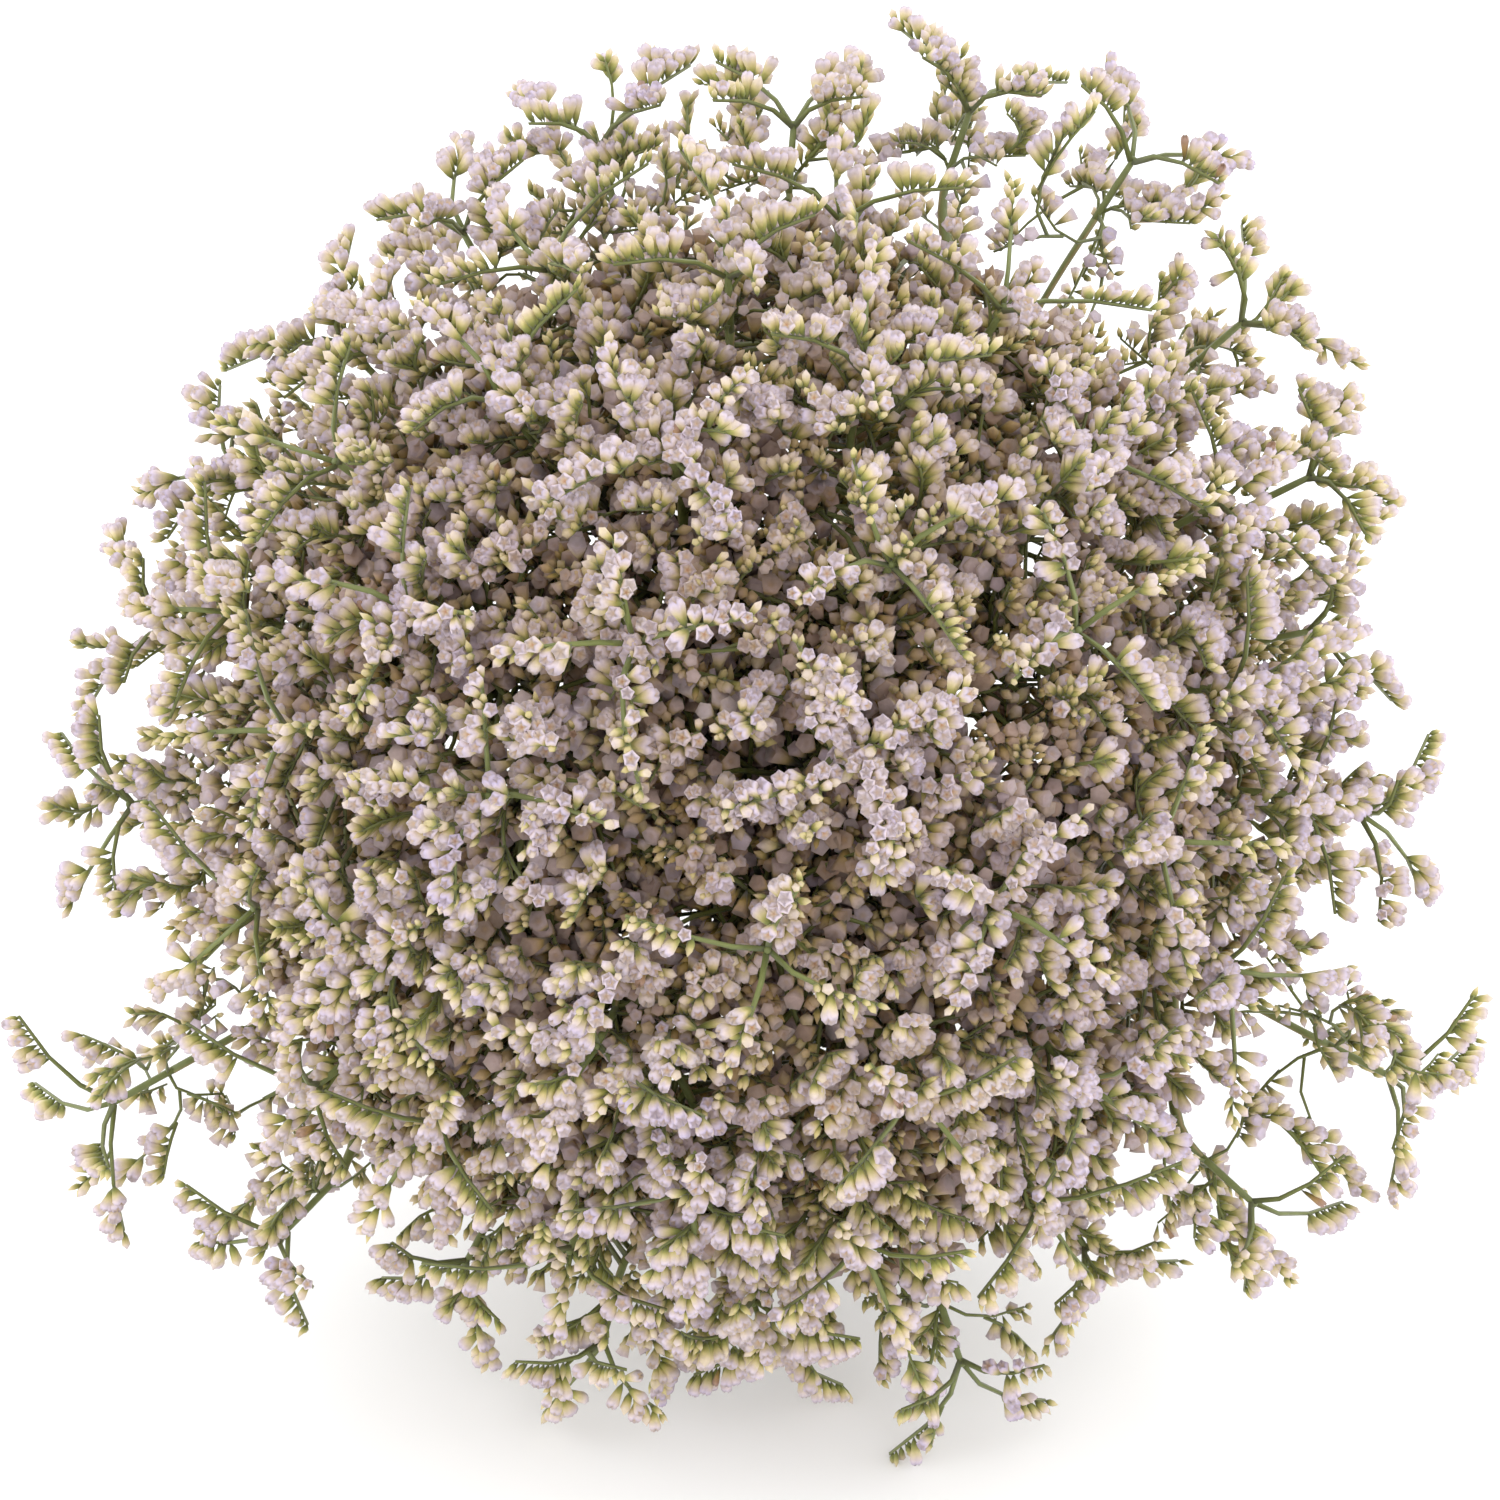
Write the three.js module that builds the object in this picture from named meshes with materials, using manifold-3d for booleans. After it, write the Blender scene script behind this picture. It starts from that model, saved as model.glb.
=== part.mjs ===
// A cut stem of statice, laid down. One stalk forks again and again into a wide head, and the
// tip of every fork carries a spray: short arching spikes set with papery, cupped florets.
//
// It is modelled with the stalk along +Z, the flowers at the top and the rim of the head at
// Z = 0. The group then lays it down, so that it rests on two sprays of its rim and on the cut
// end of the stalk, with the flowers facing -Y and up.

import * as THREE from 'three';
import Module from 'manifold-3d';

const wasm = await Module();
wasm.setup();

// The head and the stalk, mm
const HEAD_RADIUS = 150;
const HEAD_HEIGHT = 116;
const INNER_SPRAYS = 37;
const LOWEST_INNER_SPRAY = 0.3; // cosine of its angle from the top of the head
const FAN_DEPTH = 70; // the sprays fan out from a point this far behind the rim
const CROWN_DEPTH = 180; // the lowest branch leaves the stalk this far behind the rim
const REST_HEIGHT = 148; // from the surface to the middle of the rim
const LAID_ANGLE = THREE.MathUtils.degToRad(60); // from upright to lying
const LAID_SHIFT = -64; // along Y, which brings the middle of the whole over the origin

// The sprays of the rim, each as [degrees round the stalk, reach from it, height over the rim]
const RIM_SPRAYS = [
  [354, 164, 12],
  [12, 156, 4],
  [26, 165, 16],
  [41, 174, 8],
  [57, 184, 14],
  [71, 180, 6],
  [86, 166, 14],
  [104, 168, 4],
  [119, 158, 14],
  [135, 157, 4],
  [152, 156, 14],
  [168, 162, 4],
  [185, 165, 14],
  [209, 192, 8],
  [226, 176, 14],
  [241, 158, 8],
  [256, 161, 21],
  [272, 152, 12],
  [289, 170, 18],
  [304, 162, 6],
  [318, 178, 14],
  [333, 190, 6],
];

// The stem
const TIP_RADIUS = 0.95;
const THICKENING = 0.34; // a branch's radius grows with this power of the tips it carries
const STEM_STEP = 24; // between the rings of a branch
const TURN_COST = 1.1; // how much a branch avoids leaving its parent at a sharp angle
const LENGTH_COST = 0.28; // how much it avoids a roundabout way to the root
const STALK_SIDES = 8;
const BRANCH_SIDES = 5;

// A spray
const SPRAY_DEPTH = 38; // from its lowest point to its top
const STUB_LENGTH = 15; // from the root to the fork
const SPIKE_HEIGHT = 26; // from the root to the level of the spikes' ends
const SPIKES = 4;
const SPIKE_RADIUS = 1.9;
const SPIKE_REACH = 31; // how far a spike leans out from the middle of its spray
const SHORTEST_REACH = 7;
const TURNS = 6; // the ways that a spray can be turned to find the most room
const STATIONS = [6, 17, 28]; // where florets stand along a spike
const FLORET_LENGTH = 9;
const FLORET_WIDTH = 11;
const FLORET_SIZES = [1.15, 1, 0.88, 0.76, 0.64]; // tried in turn where there is little room
const FLORET_SPREAD = 0.9; // how far the two rows of a spike lean apart, as a slope
const FLORET_GAP = 0.15;
const BUD_LENGTH = 4.5;
const FAN_TIGHTNESS = 60; // the florets of a spray fan out from a point this far below it
const FLORET_CUP = 3.4; // how deep the middle of the mouth lies
const NECK_LENGTH = 3.4; // along the spike
const CELL_GAP = 0.25; // from a spray to the border with its neighbour
const JOINT_GAP = 0.3; // between the tip of a branch and its spray

const stemMaterial = new THREE.MeshStandardMaterial({
  color: 0x5f7440,
  roughness: 0.75,
  metalness: 0,
});
const floretMaterial = new THREE.MeshStandardMaterial({
  color: 0xddd0d0,
  roughness: 0.85,
  metalness: 0,
});

const UP = new THREE.Vector3(0, 0, 1);
const FAN_CENTRE = new THREE.Vector3(0, 0, -FAN_DEPTH);

// An even spread of draws between 0 and 1
function draw(index, row) {
  const value = (index + 1) * 0.618034 + row * 0.754878;
  return value - Math.floor(value);
}

// A point at a distance from another along a unit direction
function along(point, direction, distance) {
  return point.clone().addScaledVector(direction, distance);
}

// The part of a vector that is square to a unit direction, as a unit vector
function squareTo(vector, direction) {
  return vector.clone().addScaledVector(direction, -vector.dot(direction)).normalize();
}

// The tops of the sprays: a spiral over the head, then the rim
function sprayTops() {
  const tops = [];
  for (let i = 0; i < INNER_SPRAYS; i += 1) {
    const cosine = 1 - ((i + 0.5) / INNER_SPRAYS) * (1 - LOWEST_INNER_SPRAY);
    const reach = HEAD_RADIUS * Math.sqrt(1 - cosine * cosine);
    const angle = i * 2.399963;
    const height = HEAD_HEIGHT * cosine + 7 * (draw(i, 1) - 0.5);
    tops.push(new THREE.Vector3(reach * Math.cos(angle), reach * Math.sin(angle), height));
  }
  for (const [degrees, reach, height] of RIM_SPRAYS) {
    const angle = THREE.MathUtils.degToRad(degrees);
    tops.push(new THREE.Vector3(reach * Math.cos(angle), reach * Math.sin(angle), height));
  }
  return tops;
}

// Each spray with its root and direction, and the borders between its cell of the fan and the
// cells of the other sprays
function planSprays() {
  const sprays = sprayTops().map((top, index) => {
    const direction = top.clone().sub(FAN_CENTRE).normalize();
    return { index, direction, root: along(top, direction, -SPRAY_DEPTH) };
  });
  for (const spray of sprays) {
    spray.borders = sprays
      .filter((other) => other !== spray)
      .map((other) => other.direction.clone().sub(spray.direction).normalize());
  }
  return sprays;
}

// How far a point lies inside its spray's cell, less than zero when it is outside
function insideCell(spray, point) {
  const fromCentre = point.clone().sub(FAN_CENTRE);
  let least = Infinity;
  for (const border of spray.borders) {
    least = Math.min(least, -fromCentre.dot(border));
  }
  return least - CELL_GAP;
}

// The stalk and its branches, as a tree of joined points. The farthest spray is reached first,
// and each branch starts at the point that gives it the shortest and straightest way.
function growTree(sprays) {
  const flat = tipsRadius(sprays.length) * Math.cos(Math.PI / STALK_SIDES);
  const stalkEnd = (REST_HEIGHT - flat * Math.sin(LAID_ANGLE)) / Math.cos(LAID_ANGLE);
  const stalk = new THREE.CatmullRomCurve3([
    new THREE.Vector3(0, 0, -stalkEnd),
    new THREE.Vector3(2.5, 1.5, -225),
    new THREE.Vector3(-2, 0.5, -CROWN_DEPTH),
    new THREE.Vector3(1.5, -1.5, -120),
    new THREE.Vector3(-1, 1, -78),
    new THREE.Vector3(0, 0, -45),
  ]);
  const points = [];
  const steps = Math.round(stalk.getLength() / STEM_STEP);
  stalk.getSpacedPoints(steps).forEach((place, i) => {
    points.push({ place, parent: i - 1, way: i * STEM_STEP, tips: 0, branch: 0 });
    if (i === 0) points[0].facing = UP;
  });
  const canFork = (point) => point.place.z >= -CROWN_DEPTH - 1 && !point.facing;
  const farthestFirst = [...sprays].sort(
    (a, b) => b.root.distanceTo(FAN_CENTRE) - a.root.distanceTo(FAN_CENTRE),
  );
  farthestFirst.forEach((spray, order) => {
    const end = along(spray.root, spray.direction, -JOINT_GAP);
    let best = null;
    points.forEach((point, i) => {
      if (!canFork(point)) return;
      const chord = end.clone().sub(point.place);
      const length = chord.length();
      if (length < STEM_STEP) return;
      const before = points[Math.max(point.parent, 0)].place;
      const heading = point.place.clone().sub(before).normalize();
      const turn = 1 - heading.dot(chord) / length;
      const cost = length * (1 + TURN_COST * turn) + LENGTH_COST * point.way;
      if (!best || cost < best.cost) best = { cost, i, length, heading };
    });
    const start = points[best.i].place;
    const leave = along(start, best.heading, 0.22 * best.length);
    const arrive = along(end, spray.direction, -0.38 * best.length);
    const curve = new THREE.CubicBezierCurve3(start, leave, arrive, end);
    const count = Math.max(2, Math.round(best.length / STEM_STEP));
    const places = curve.getSpacedPoints(count);
    let parent = best.i;
    for (let k = 1; k <= count; k += 1) {
      const way = points[best.i].way + (k / count) * best.length;
      points.push({ place: places[k], parent, way, tips: 0, branch: order + 1 });
      if (k === count) points.at(-1).facing = spray.direction;
      parent = points.length - 1;
    }
    for (let i = parent; i >= 0; i = points[i].parent) points[i].tips += 1;
  });
  return points;
}

function tipsRadius(tips) {
  return TIP_RADIUS * tips ** THICKENING;
}

// A closed solid through rings of points, each ring with the same number of points
function loft(rings) {
  const sides = rings[0].length;
  const positions = rings.flat();
  const triangles = [];
  for (let i = 1; i < sides - 1; i += 1) triangles.push([0, i + 1, i]);
  for (let r = 0; r + 1 < rings.length; r += 1) {
    for (let i = 0; i < sides; i += 1) {
      const a = r * sides + i;
      const b = r * sides + ((i + 1) % sides);
      triangles.push([a, b, b + sides], [a, b + sides, a + sides]);
    }
  }
  const last = (rings.length - 1) * sides;
  for (let i = 1; i < sides - 1; i += 1) triangles.push([last, last + i, last + i + 1]);
  return solid(positions, triangles);
}

function solid(positions, triangles) {
  return new wasm.Manifold(
    new wasm.Mesh({
      numProp: 3,
      vertProperties: new Float32Array(positions.flatMap((p) => [p.x, p.y, p.z])),
      triVerts: new Uint32Array(triangles.flat()),
    }),
  );
}

// A ring of points round a place, square to a direction
function ring(place, direction, radius, sides, reference) {
  const first = squareTo(reference, direction);
  const second = direction.clone().cross(first);
  return Array.from({ length: sides }, (_, i) => {
    const angle = ((i + 0.5) * 2 * Math.PI) / sides;
    return place
      .clone()
      .addScaledVector(first, radius * Math.cos(angle))
      .addScaledVector(second, radius * Math.sin(angle));
  });
}

// One branch of the tree from its fork to its tip, thinner toward the tip
function branchSolid(points, branch) {
  const own = points.filter((point) => point.branch === branch);
  const route = branch === 0 ? own : [{ ...points[own[0].parent], tips: own[0].tips }, ...own];
  const sides = branch === 0 ? STALK_SIDES : BRANCH_SIDES - (own[0].tips === 1 ? 1 : 0);
  const reference = new THREE.Vector3(0, 1, 0).applyAxisAngle(UP, branch);
  if (branch === 0) reference.set(0, -1, 0);
  const rings = route.map((point, i) => {
    const before = route[Math.max(i - 1, 0)].place;
    const after = route[Math.min(i + 1, route.length - 1)].place;
    const heading = point.facing ?? after.clone().sub(before).normalize();
    return ring(point.place, heading, tipsRadius(point.tips), sides, reference);
  });
  return loft(rings);
}

function stemSolid(points) {
  const branches = Math.max(...points.map((point) => point.branch));
  const parts = [];
  for (let branch = 0; branch <= branches; branch += 1) parts.push(branchSolid(points, branch));
  return wasm.Manifold.union(parts);
}

// A floret raised from a small face of a spike: it flares to a square mouth with a dip. It
// shrinks until it is clear of everything placed before it, and is left out where it can't be.
function raiseFloret(spray, neck, heading, outer, lean) {
  const base = new THREE.Vector3();
  neck.forEach((point) => base.addScaledVector(point, 1 / neck.length));
  const tangent = squareTo(heading, lean);
  const across = lean.clone().cross(tangent);
  if (across.dot(outer) < 0) across.negate();
  for (const size of FLORET_SIZES) {
    const middle = along(base, lean, FLORET_LENGTH * (0.3 + 0.7 * size));
    const half = (FLORET_WIDTH / 2) * size;
    const corner = (t, a) => along(along(middle, tangent, t * half), across, a * half);
    const mouth = [corner(-1, 1), corner(-1, -1), corner(1, -1), corner(1, 1)];
    const waist = mouth.map((point, i) => neck[i].clone().lerp(point, 0.3));
    const body = convexBody(waist, mouth);
    const fits = mouth.every((point) => insideCell(spray, point) > 0);
    if (fits && spray.bodies.every((other) => apart(body, other))) {
      spray.bodies.push(body);
      return { mouth, dip: along(middle, lean, -FLORET_CUP * size) };
    }
  }
  return null;
}

function mean(points) {
  const sum = new THREE.Vector3();
  points.forEach((point) => sum.add(point));
  return sum.divideScalar(points.length);
}

// A convex piece of the spray between two rings, with the directions square to its walls
function convexBody(from, to) {
  const walls = from.map((point, i) => {
    const rim = from[(i + 1) % from.length].clone().sub(point);
    return rim.cross(to[i].clone().sub(point)).normalize();
  });
  return { points: [...from, ...to], walls, middle: mean(to) };
}

// Whether a plane fits between two convex pieces
function apart(a, b) {
  const between = b.middle.clone().sub(a.middle).normalize();
  for (const direction of [between, ...a.walls, ...b.walls]) {
    const first = a.points.map((point) => point.dot(direction));
    const second = b.points.map((point) => point.dot(direction));
    const gap = Math.max(
      Math.min(...second) - Math.max(...first),
      Math.min(...first) - Math.max(...second),
    );
    if (gap > FLORET_GAP) return true;
  }
  return false;
}

// A spike of the spray's mesh: a three-sided prism along a curve, from a face of the hub, with
// florets raised from its two upper faces and a pointed bud at its end
function addSpike(spray, mesh, start, curve, shift) {
  const length = curve.getLength();
  const stops = [{ at: 0 }];
  STATIONS.forEach((station, i) => {
    const at = station + shift;
    if (at + NECK_LENGTH > length - 1) return;
    const sides = i === 0 ? [1] : [1, -1];
    stops.push({ at: at - NECK_LENGTH / 2, sides }, { at: at + NECK_LENGTH / 2 });
  });
  stops.push({ at: length });
  const rings = stops.map(({ at, sides }, i) => {
    const u = at / length;
    const place = curve.getPointAt(u);
    const heading = curve.getTangentAt(u);
    const top = squareTo(spray.direction, heading);
    const across = top.clone().cross(heading);
    const radius = SPIKE_RADIUS * (1 - 0.3 * u);
    const low = along(place, top, -0.5 * radius);
    if (i === 0) return { place, heading, across, sides, first: start };
    const first = mesh.add(
      along(place, top, radius),
      along(low, across, 0.87 * radius),
      along(low, across, -0.87 * radius),
    );
    return { place, heading, across, sides, first: [first, first + 1, first + 2] };
  });
  const florets = [];
  rings.slice(0, -1).forEach((from, i) => {
    const [top, right, left] = from.first;
    const [nextTop, nextRight, nextLeft] = rings[i + 1].first;
    mesh.quad(left, right, nextRight, nextLeft);
    const places = [...from.first, ...rings[i + 1].first].map((p) => mesh.positions[p]);
    spray.bodies.push(convexBody(places.slice(0, 3), places.slice(3)));
    const faces = [
      { side: 1, neck: [right, top, nextTop, nextRight], turn: 0 },
      { side: -1, neck: [top, left, nextLeft, nextTop], turn: 1 },
    ];
    for (const face of faces) {
      if (from.sides?.includes(face.side)) florets.push({ ...face, from });
      else mesh.quad(...face.neck);
    }
  });
  const end = rings.at(-1);
  const point = mesh.add(along(end.place, end.heading, BUD_LENGTH));
  const [top, right, left] = end.first;
  mesh.triangles.push([right, top, point], [top, left, point], [left, right, point]);
  return florets;
}

// A floret's walls and mouth, or the plain face of the spike where there is no room for it
function addFloret(spray, mesh, { side, neck, from, turn }) {
  const outer = from.across.clone().multiplyScalar(side);
  const fan = from.place.clone().sub(spray.middle).normalize();
  const aim = along(fan, outer, FLORET_SPREAD).normalize();
  const corners = turn ? [1, 0, 3, 2] : [0, 1, 2, 3];
  const places = corners.map((i) => mesh.positions[neck[i]]);
  const floret = raiseFloret(spray, places, from.heading, outer, aim);
  if (!floret) {
    mesh.quad(...neck);
    return;
  }
  const first = mesh.add(...corners.map((i) => floret.mouth[i]), floret.dip);
  for (let i = 0; i < 4; i += 1) {
    const j = (i + 1) % 4;
    mesh.quad(neck[i], neck[j], first + j, first + i);
    mesh.triangles.push([first + i, first + j, first + 4]);
  }
}

// How far a spike can lean out in a direction before it leaves its cell
function reachInCell(spray, outward) {
  let reach = SPIKE_REACH;
  while (reach > SHORTEST_REACH) {
    const tip = along(along(spray.root, spray.direction, SPIKE_HEIGHT), outward, reach + 4);
    if (insideCell(spray, tip) > 0) return reach;
    reach -= 1;
  }
  return reach;
}

// The way that a spray's first spike faces, so that its spikes have the most room in its cell
function widestTurn(spray) {
  const { root, direction } = spray;
  const reference = squareTo(new THREE.Vector3(0.1, 1, 0.2), direction);
  let best = null;
  for (let turn = 0; turn < TURNS; turn += 1) {
    const first = (2 * Math.PI * turn) / (TURNS * SPIKES);
    let room = 0;
    for (let k = 0; k < SPIKES; k += 1) {
      const angle = first + (2 * Math.PI * k) / SPIKES;
      room += reachInCell(spray, reference.clone().applyAxisAngle(direction, angle));
    }
    if (!best || room > best.room) best = { room, first };
  }
  // a spike leaves halfway between two corners of the stub
  return reference.applyAxisAngle(direction, best.first - Math.PI * 2 / SPIKES);
}

// Vertices and triangles as they are added
class MeshParts {
  positions = [];
  triangles = [];

  add(...points) {
    return this.positions.push(...points) - points.length;
  }

  quad(a, b, c, d) {
    this.triangles.push([a, b, c], [a, c, d]);
  }
}

// A spray: a three-sided stub with a peak, and from each face of the peak a spike that arches
// out to its side of the cell
function spraySolid(spray) {
  const { root, direction } = spray;
  const mesh = new MeshParts();
  const start = widestTurn(spray);
  const fork = along(root, direction, STUB_LENGTH);
  const peak = 2 * SPIKES;
  mesh.add(...ring(root, direction, TIP_RADIUS, SPIKES, start));
  mesh.add(...ring(fork, direction, TIP_RADIUS, SPIKES, start), along(fork, direction, 1));
  for (let i = 2; i < SPIKES; i += 1) mesh.triangles.push([0, i, i - 1]);
  spray.middle = along(root, direction, -FAN_TIGHTNESS);
  spray.bodies = [];
  const florets = [];
  for (let k = 0; k < SPIKES; k += 1) {
    const next = (k + 1) % SPIKES;
    const low = SPIKES + k;
    const high = SPIKES + next;
    mesh.quad(k, next, high, low);
    const base = [mesh.positions[low], mesh.positions[high], mesh.positions[peak]];
    const outward = squareTo(mean(base).sub(fork), direction);
    const reach = reachInCell(spray, outward);
    const curve = new THREE.QuadraticBezierCurve3(
      mean(base),
      along(along(root, direction, 0.95 * SPIKE_HEIGHT), outward, 0.3 * reach),
      along(along(root, direction, SPIKE_HEIGHT), outward, reach),
    );
    florets.push(...addSpike(spray, mesh, [peak, high, low], curve, k % 2));
  }
  florets.forEach((floret) => addFloret(spray, mesh, floret));
  return trimAtSurface(solid(mesh.positions, mesh.triangles));
}

// What would go below the surface that the stem lies on is cut flat, and loose scraps go
function trimAtSurface(body) {
  const upright = [0, Math.sin(LAID_ANGLE), Math.cos(LAID_ANGLE)];
  const pieces = body.trimByPlane(upright, -REST_HEIGHT).decompose();
  return pieces.sort((a, b) => b.volume() - a.volume())[0];
}

// A solid as a named mesh
function meshOf(name, manifold, material) {
  const { vertProperties, triVerts, numProp } = manifold.getMesh();
  const positions = new Float32Array((vertProperties.length / numProp) * 3);
  for (let i = 0; i < positions.length / 3; i += 1) {
    positions.set(vertProperties.subarray(i * numProp, i * numProp + 3), i * 3);
  }
  const geometry = new THREE.BufferGeometry();
  geometry.setAttribute('position', new THREE.BufferAttribute(positions, 3));
  geometry.setIndex(new THREE.BufferAttribute(new Uint32Array(triVerts), 1));
  const mesh = new THREE.Mesh(geometry, material);
  mesh.name = name;
  return mesh;
}

const statice = new THREE.Group();
const sprays = planSprays();
const tree = growTree(sprays);
statice.add(meshOf('stem', stemSolid(tree), stemMaterial));
for (const spray of sprays) {
  const name = `spray_${String(spray.index + 1).padStart(2, '0')}`;
  statice.add(meshOf(name, spraySolid(spray), floretMaterial));
}
statice.rotation.x = LAID_ANGLE;
statice.position.set(0, LAID_SHIFT, REST_HEIGHT);

export default statice;
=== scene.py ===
"""A cut stem of statice, laid down: one forking stalk and a wide head of small papery florets.

The plant is drawn upright in millimetres, with the rim of its head at height zero and the flowers
above it. Laying turns each finished shape into the part's own frame, in metres.
"""

from __future__ import annotations

import logging
import math
from dataclasses import dataclass, field
from enum import Enum

import bpy
import numpy as np
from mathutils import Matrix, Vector


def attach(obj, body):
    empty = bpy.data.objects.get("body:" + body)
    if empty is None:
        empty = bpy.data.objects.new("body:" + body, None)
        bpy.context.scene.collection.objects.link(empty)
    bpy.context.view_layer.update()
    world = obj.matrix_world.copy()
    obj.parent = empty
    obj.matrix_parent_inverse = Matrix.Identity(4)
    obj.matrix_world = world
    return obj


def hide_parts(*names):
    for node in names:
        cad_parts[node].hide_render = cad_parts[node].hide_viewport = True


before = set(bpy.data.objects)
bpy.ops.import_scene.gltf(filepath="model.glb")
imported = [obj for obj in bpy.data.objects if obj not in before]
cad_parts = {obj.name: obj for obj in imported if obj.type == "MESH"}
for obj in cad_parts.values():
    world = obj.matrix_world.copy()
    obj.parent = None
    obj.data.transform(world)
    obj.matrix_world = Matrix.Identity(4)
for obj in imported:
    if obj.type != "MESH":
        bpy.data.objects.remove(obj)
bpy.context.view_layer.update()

BODY = "root"
MM = 0.001
UP = np.array([0.0, 0.0, 1.0])
FULL_TURN = 2 * math.pi
# The end of a draw of any turn, radians
TURN_DRAW = 6.28
# Steps that spread angles and heights evenly, however many there are
GOLDEN_ANGLE = 2.399963
GOLDEN_STEP = 0.618034
PLASTIC_STEP = 0.754878
# The least length that anything is divided by
NEAR_ZERO = 1e-12
# How many points a curve is sampled at before it is cut into equal steps
CURVE_SAMPLES = 201
# How far the point that closes a tube stands out, as a share of the tube's radius
POLE_RISE = 0.3
SEED = 11
SPRIG_PIECES = 3

log = logging.getLogger("statice_stem")


# Vectors and curves


def unit(vectors: np.ndarray) -> np.ndarray:
    """Return the vectors divided by their own lengths."""
    return vectors / np.maximum(np.linalg.norm(vectors, axis=-1, keepdims=True), NEAR_ZERO)


def dot(first: np.ndarray, second: np.ndarray) -> np.ndarray:
    """Return the dot products of paired vectors, kept as a last axis of one."""
    return (first * second).sum(axis=-1, keepdims=True)


def square_to(vectors: np.ndarray, directions: np.ndarray) -> np.ndarray:
    """Return the part of each vector that is square to its unit direction, as a unit vector."""
    return unit(vectors - directions * dot(vectors, directions))


def turned(vectors: np.ndarray, axes: np.ndarray, angles: np.ndarray) -> np.ndarray:
    """Turn vectors round unit axes.

    The result is the vector times the cosine, plus the axis crossed with it times the sine, plus
    its share along the axis times one minus the cosine.

    Args:
        vectors: Vectors, with a last axis of three.
        axes: Unit vectors of the same shape.
        angles: Radians, one for each vector.

    Returns:
        The turned vectors.
    """
    cosines = np.cos(angles)[..., None]
    sines = np.sin(angles)[..., None]
    level = vectors * cosines + np.cross(axes, vectors) * sines
    return level + axes * dot(axes, vectors) * (1 - cosines)


def bezier(controls: np.ndarray, shares: np.ndarray) -> np.ndarray:
    """Give points of Bezier curves: neighbouring controls are mixed by the share until one is left.

    Args:
        controls: Control points of shape (curves, controls, 3).
        shares: Shares from 0 to 1 of shape (curves, samples).

    Returns:
        Points of shape (curves, samples, 3).
    """
    mix = shares[:, None, :, None]
    points = np.repeat(controls[:, :, None, :], shares.shape[1], axis=2)
    while points.shape[1] > 1:
        points = points[:, :-1] * (1 - mix) + points[:, 1:] * mix
    return points[:, 0]


def bezier_heading(controls: np.ndarray, shares: np.ndarray) -> np.ndarray:
    """Return the unit headings of Bezier curves, from the curve through the controls' steps."""
    return unit(bezier(np.diff(controls, axis=1), shares))


def curve_length(points: np.ndarray) -> float:
    """Return the length of a line, the sum of the steps from each of its points to the next."""
    return float(np.linalg.norm(np.diff(points, axis=0), axis=1).sum())


def even_shares(points: np.ndarray, shares: np.ndarray, count: int) -> np.ndarray:
    """Return the shares at which a curve, sampled at these shares, begins and ends equal steps."""
    way = np.concatenate([[0.0], np.cumsum(np.linalg.norm(np.diff(points, axis=0), axis=1))])
    return np.interp(np.linspace(0.0, way[-1], count + 1), way, shares)


def centripetal(knots: np.ndarray, shares: np.ndarray) -> np.ndarray:
    """Give points of a centripetal Catmull-Rom curve.

    Between two knots the curve is the cubic whose slopes come from the neighbouring knots, each
    span being as long as the square root of its chord.

    Args:
        knots: Points that the curve runs through.
        shares: Shares from 0 to 1 along the whole row of knots.

    Returns:
        One point for each share.
    """
    ends = np.vstack([2 * knots[0] - knots[1], knots, 2 * knots[-1] - knots[-2]])
    spans = np.linalg.norm(np.diff(ends, axis=0), axis=1) ** 0.5
    position = shares * (len(knots) - 1)
    at = np.minimum(position.astype(int), len(knots) - 2)
    part = (position - at)[:, None]
    before, first, second, after = (ends[at + i] for i in range(4))
    d0, d1, d2 = (spans[at + i][:, None] for i in range(3))
    leave = ((first - before) / d0 - (second - before) / (d0 + d1) + (second - first) / d1) * d1
    arrive = ((second - first) / d1 - (after - first) / (d1 + d2) + (after - second) / d2) * d1
    return (
        first
        + leave * part
        + (-3 * first + 3 * second - 2 * leave - arrive) * part**2
        + (2 * first - 2 * second + leave + arrive) * part**3
    )


def even_draw(index: np.ndarray, row: int) -> np.ndarray:
    """Return an even spread of draws between 0 and 1: the fractions of golden steps."""
    return ((index + 1) * GOLDEN_STEP + row * PLASTIC_STEP) % 1.0


@dataclass(frozen=True)
class Laying:
    """How the upright plant is laid down: turned about X, then moved.

    Attributes:
        angle: How far it is turned, radians.
        shift: How far it is moved along Y, mm.
        height: How far it is lifted, mm.
        surface: The lowest height that a point may have, mm.
    """

    angle: float = math.radians(60)
    shift: float = -64.0
    height: float = 148.0
    surface: float = 0.15

    def place(self, points: np.ndarray) -> np.ndarray:
        """Turn points of the plant into the part's frame.

        What would go below the surface is pressed flat on it.

        Args:
            points: Points in the upright plant's frame, mm.

        Returns:
            Points in the part's frame, metres.
        """
        x, y, z = np.moveaxis(points, -1, 0)
        cosine, sine = math.cos(self.angle), math.sin(self.angle)
        upward = y * sine + z * cosine + self.height
        laid = [x, y * cosine - z * sine + self.shift, np.maximum(upward, self.surface)]
        return np.stack(laid, axis=-1) * MM


# Meshes from closed grids


@dataclass(frozen=True)
class FaceSet:
    """The faces of one kind, quads or triangles, of a closed grid.

    Attributes:
        corners: The numbers of each face's points, one row for each face.
        places: Each corner's place on a square map, with the sides across and the rings up.
    """

    corners: np.ndarray
    places: np.ndarray


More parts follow.
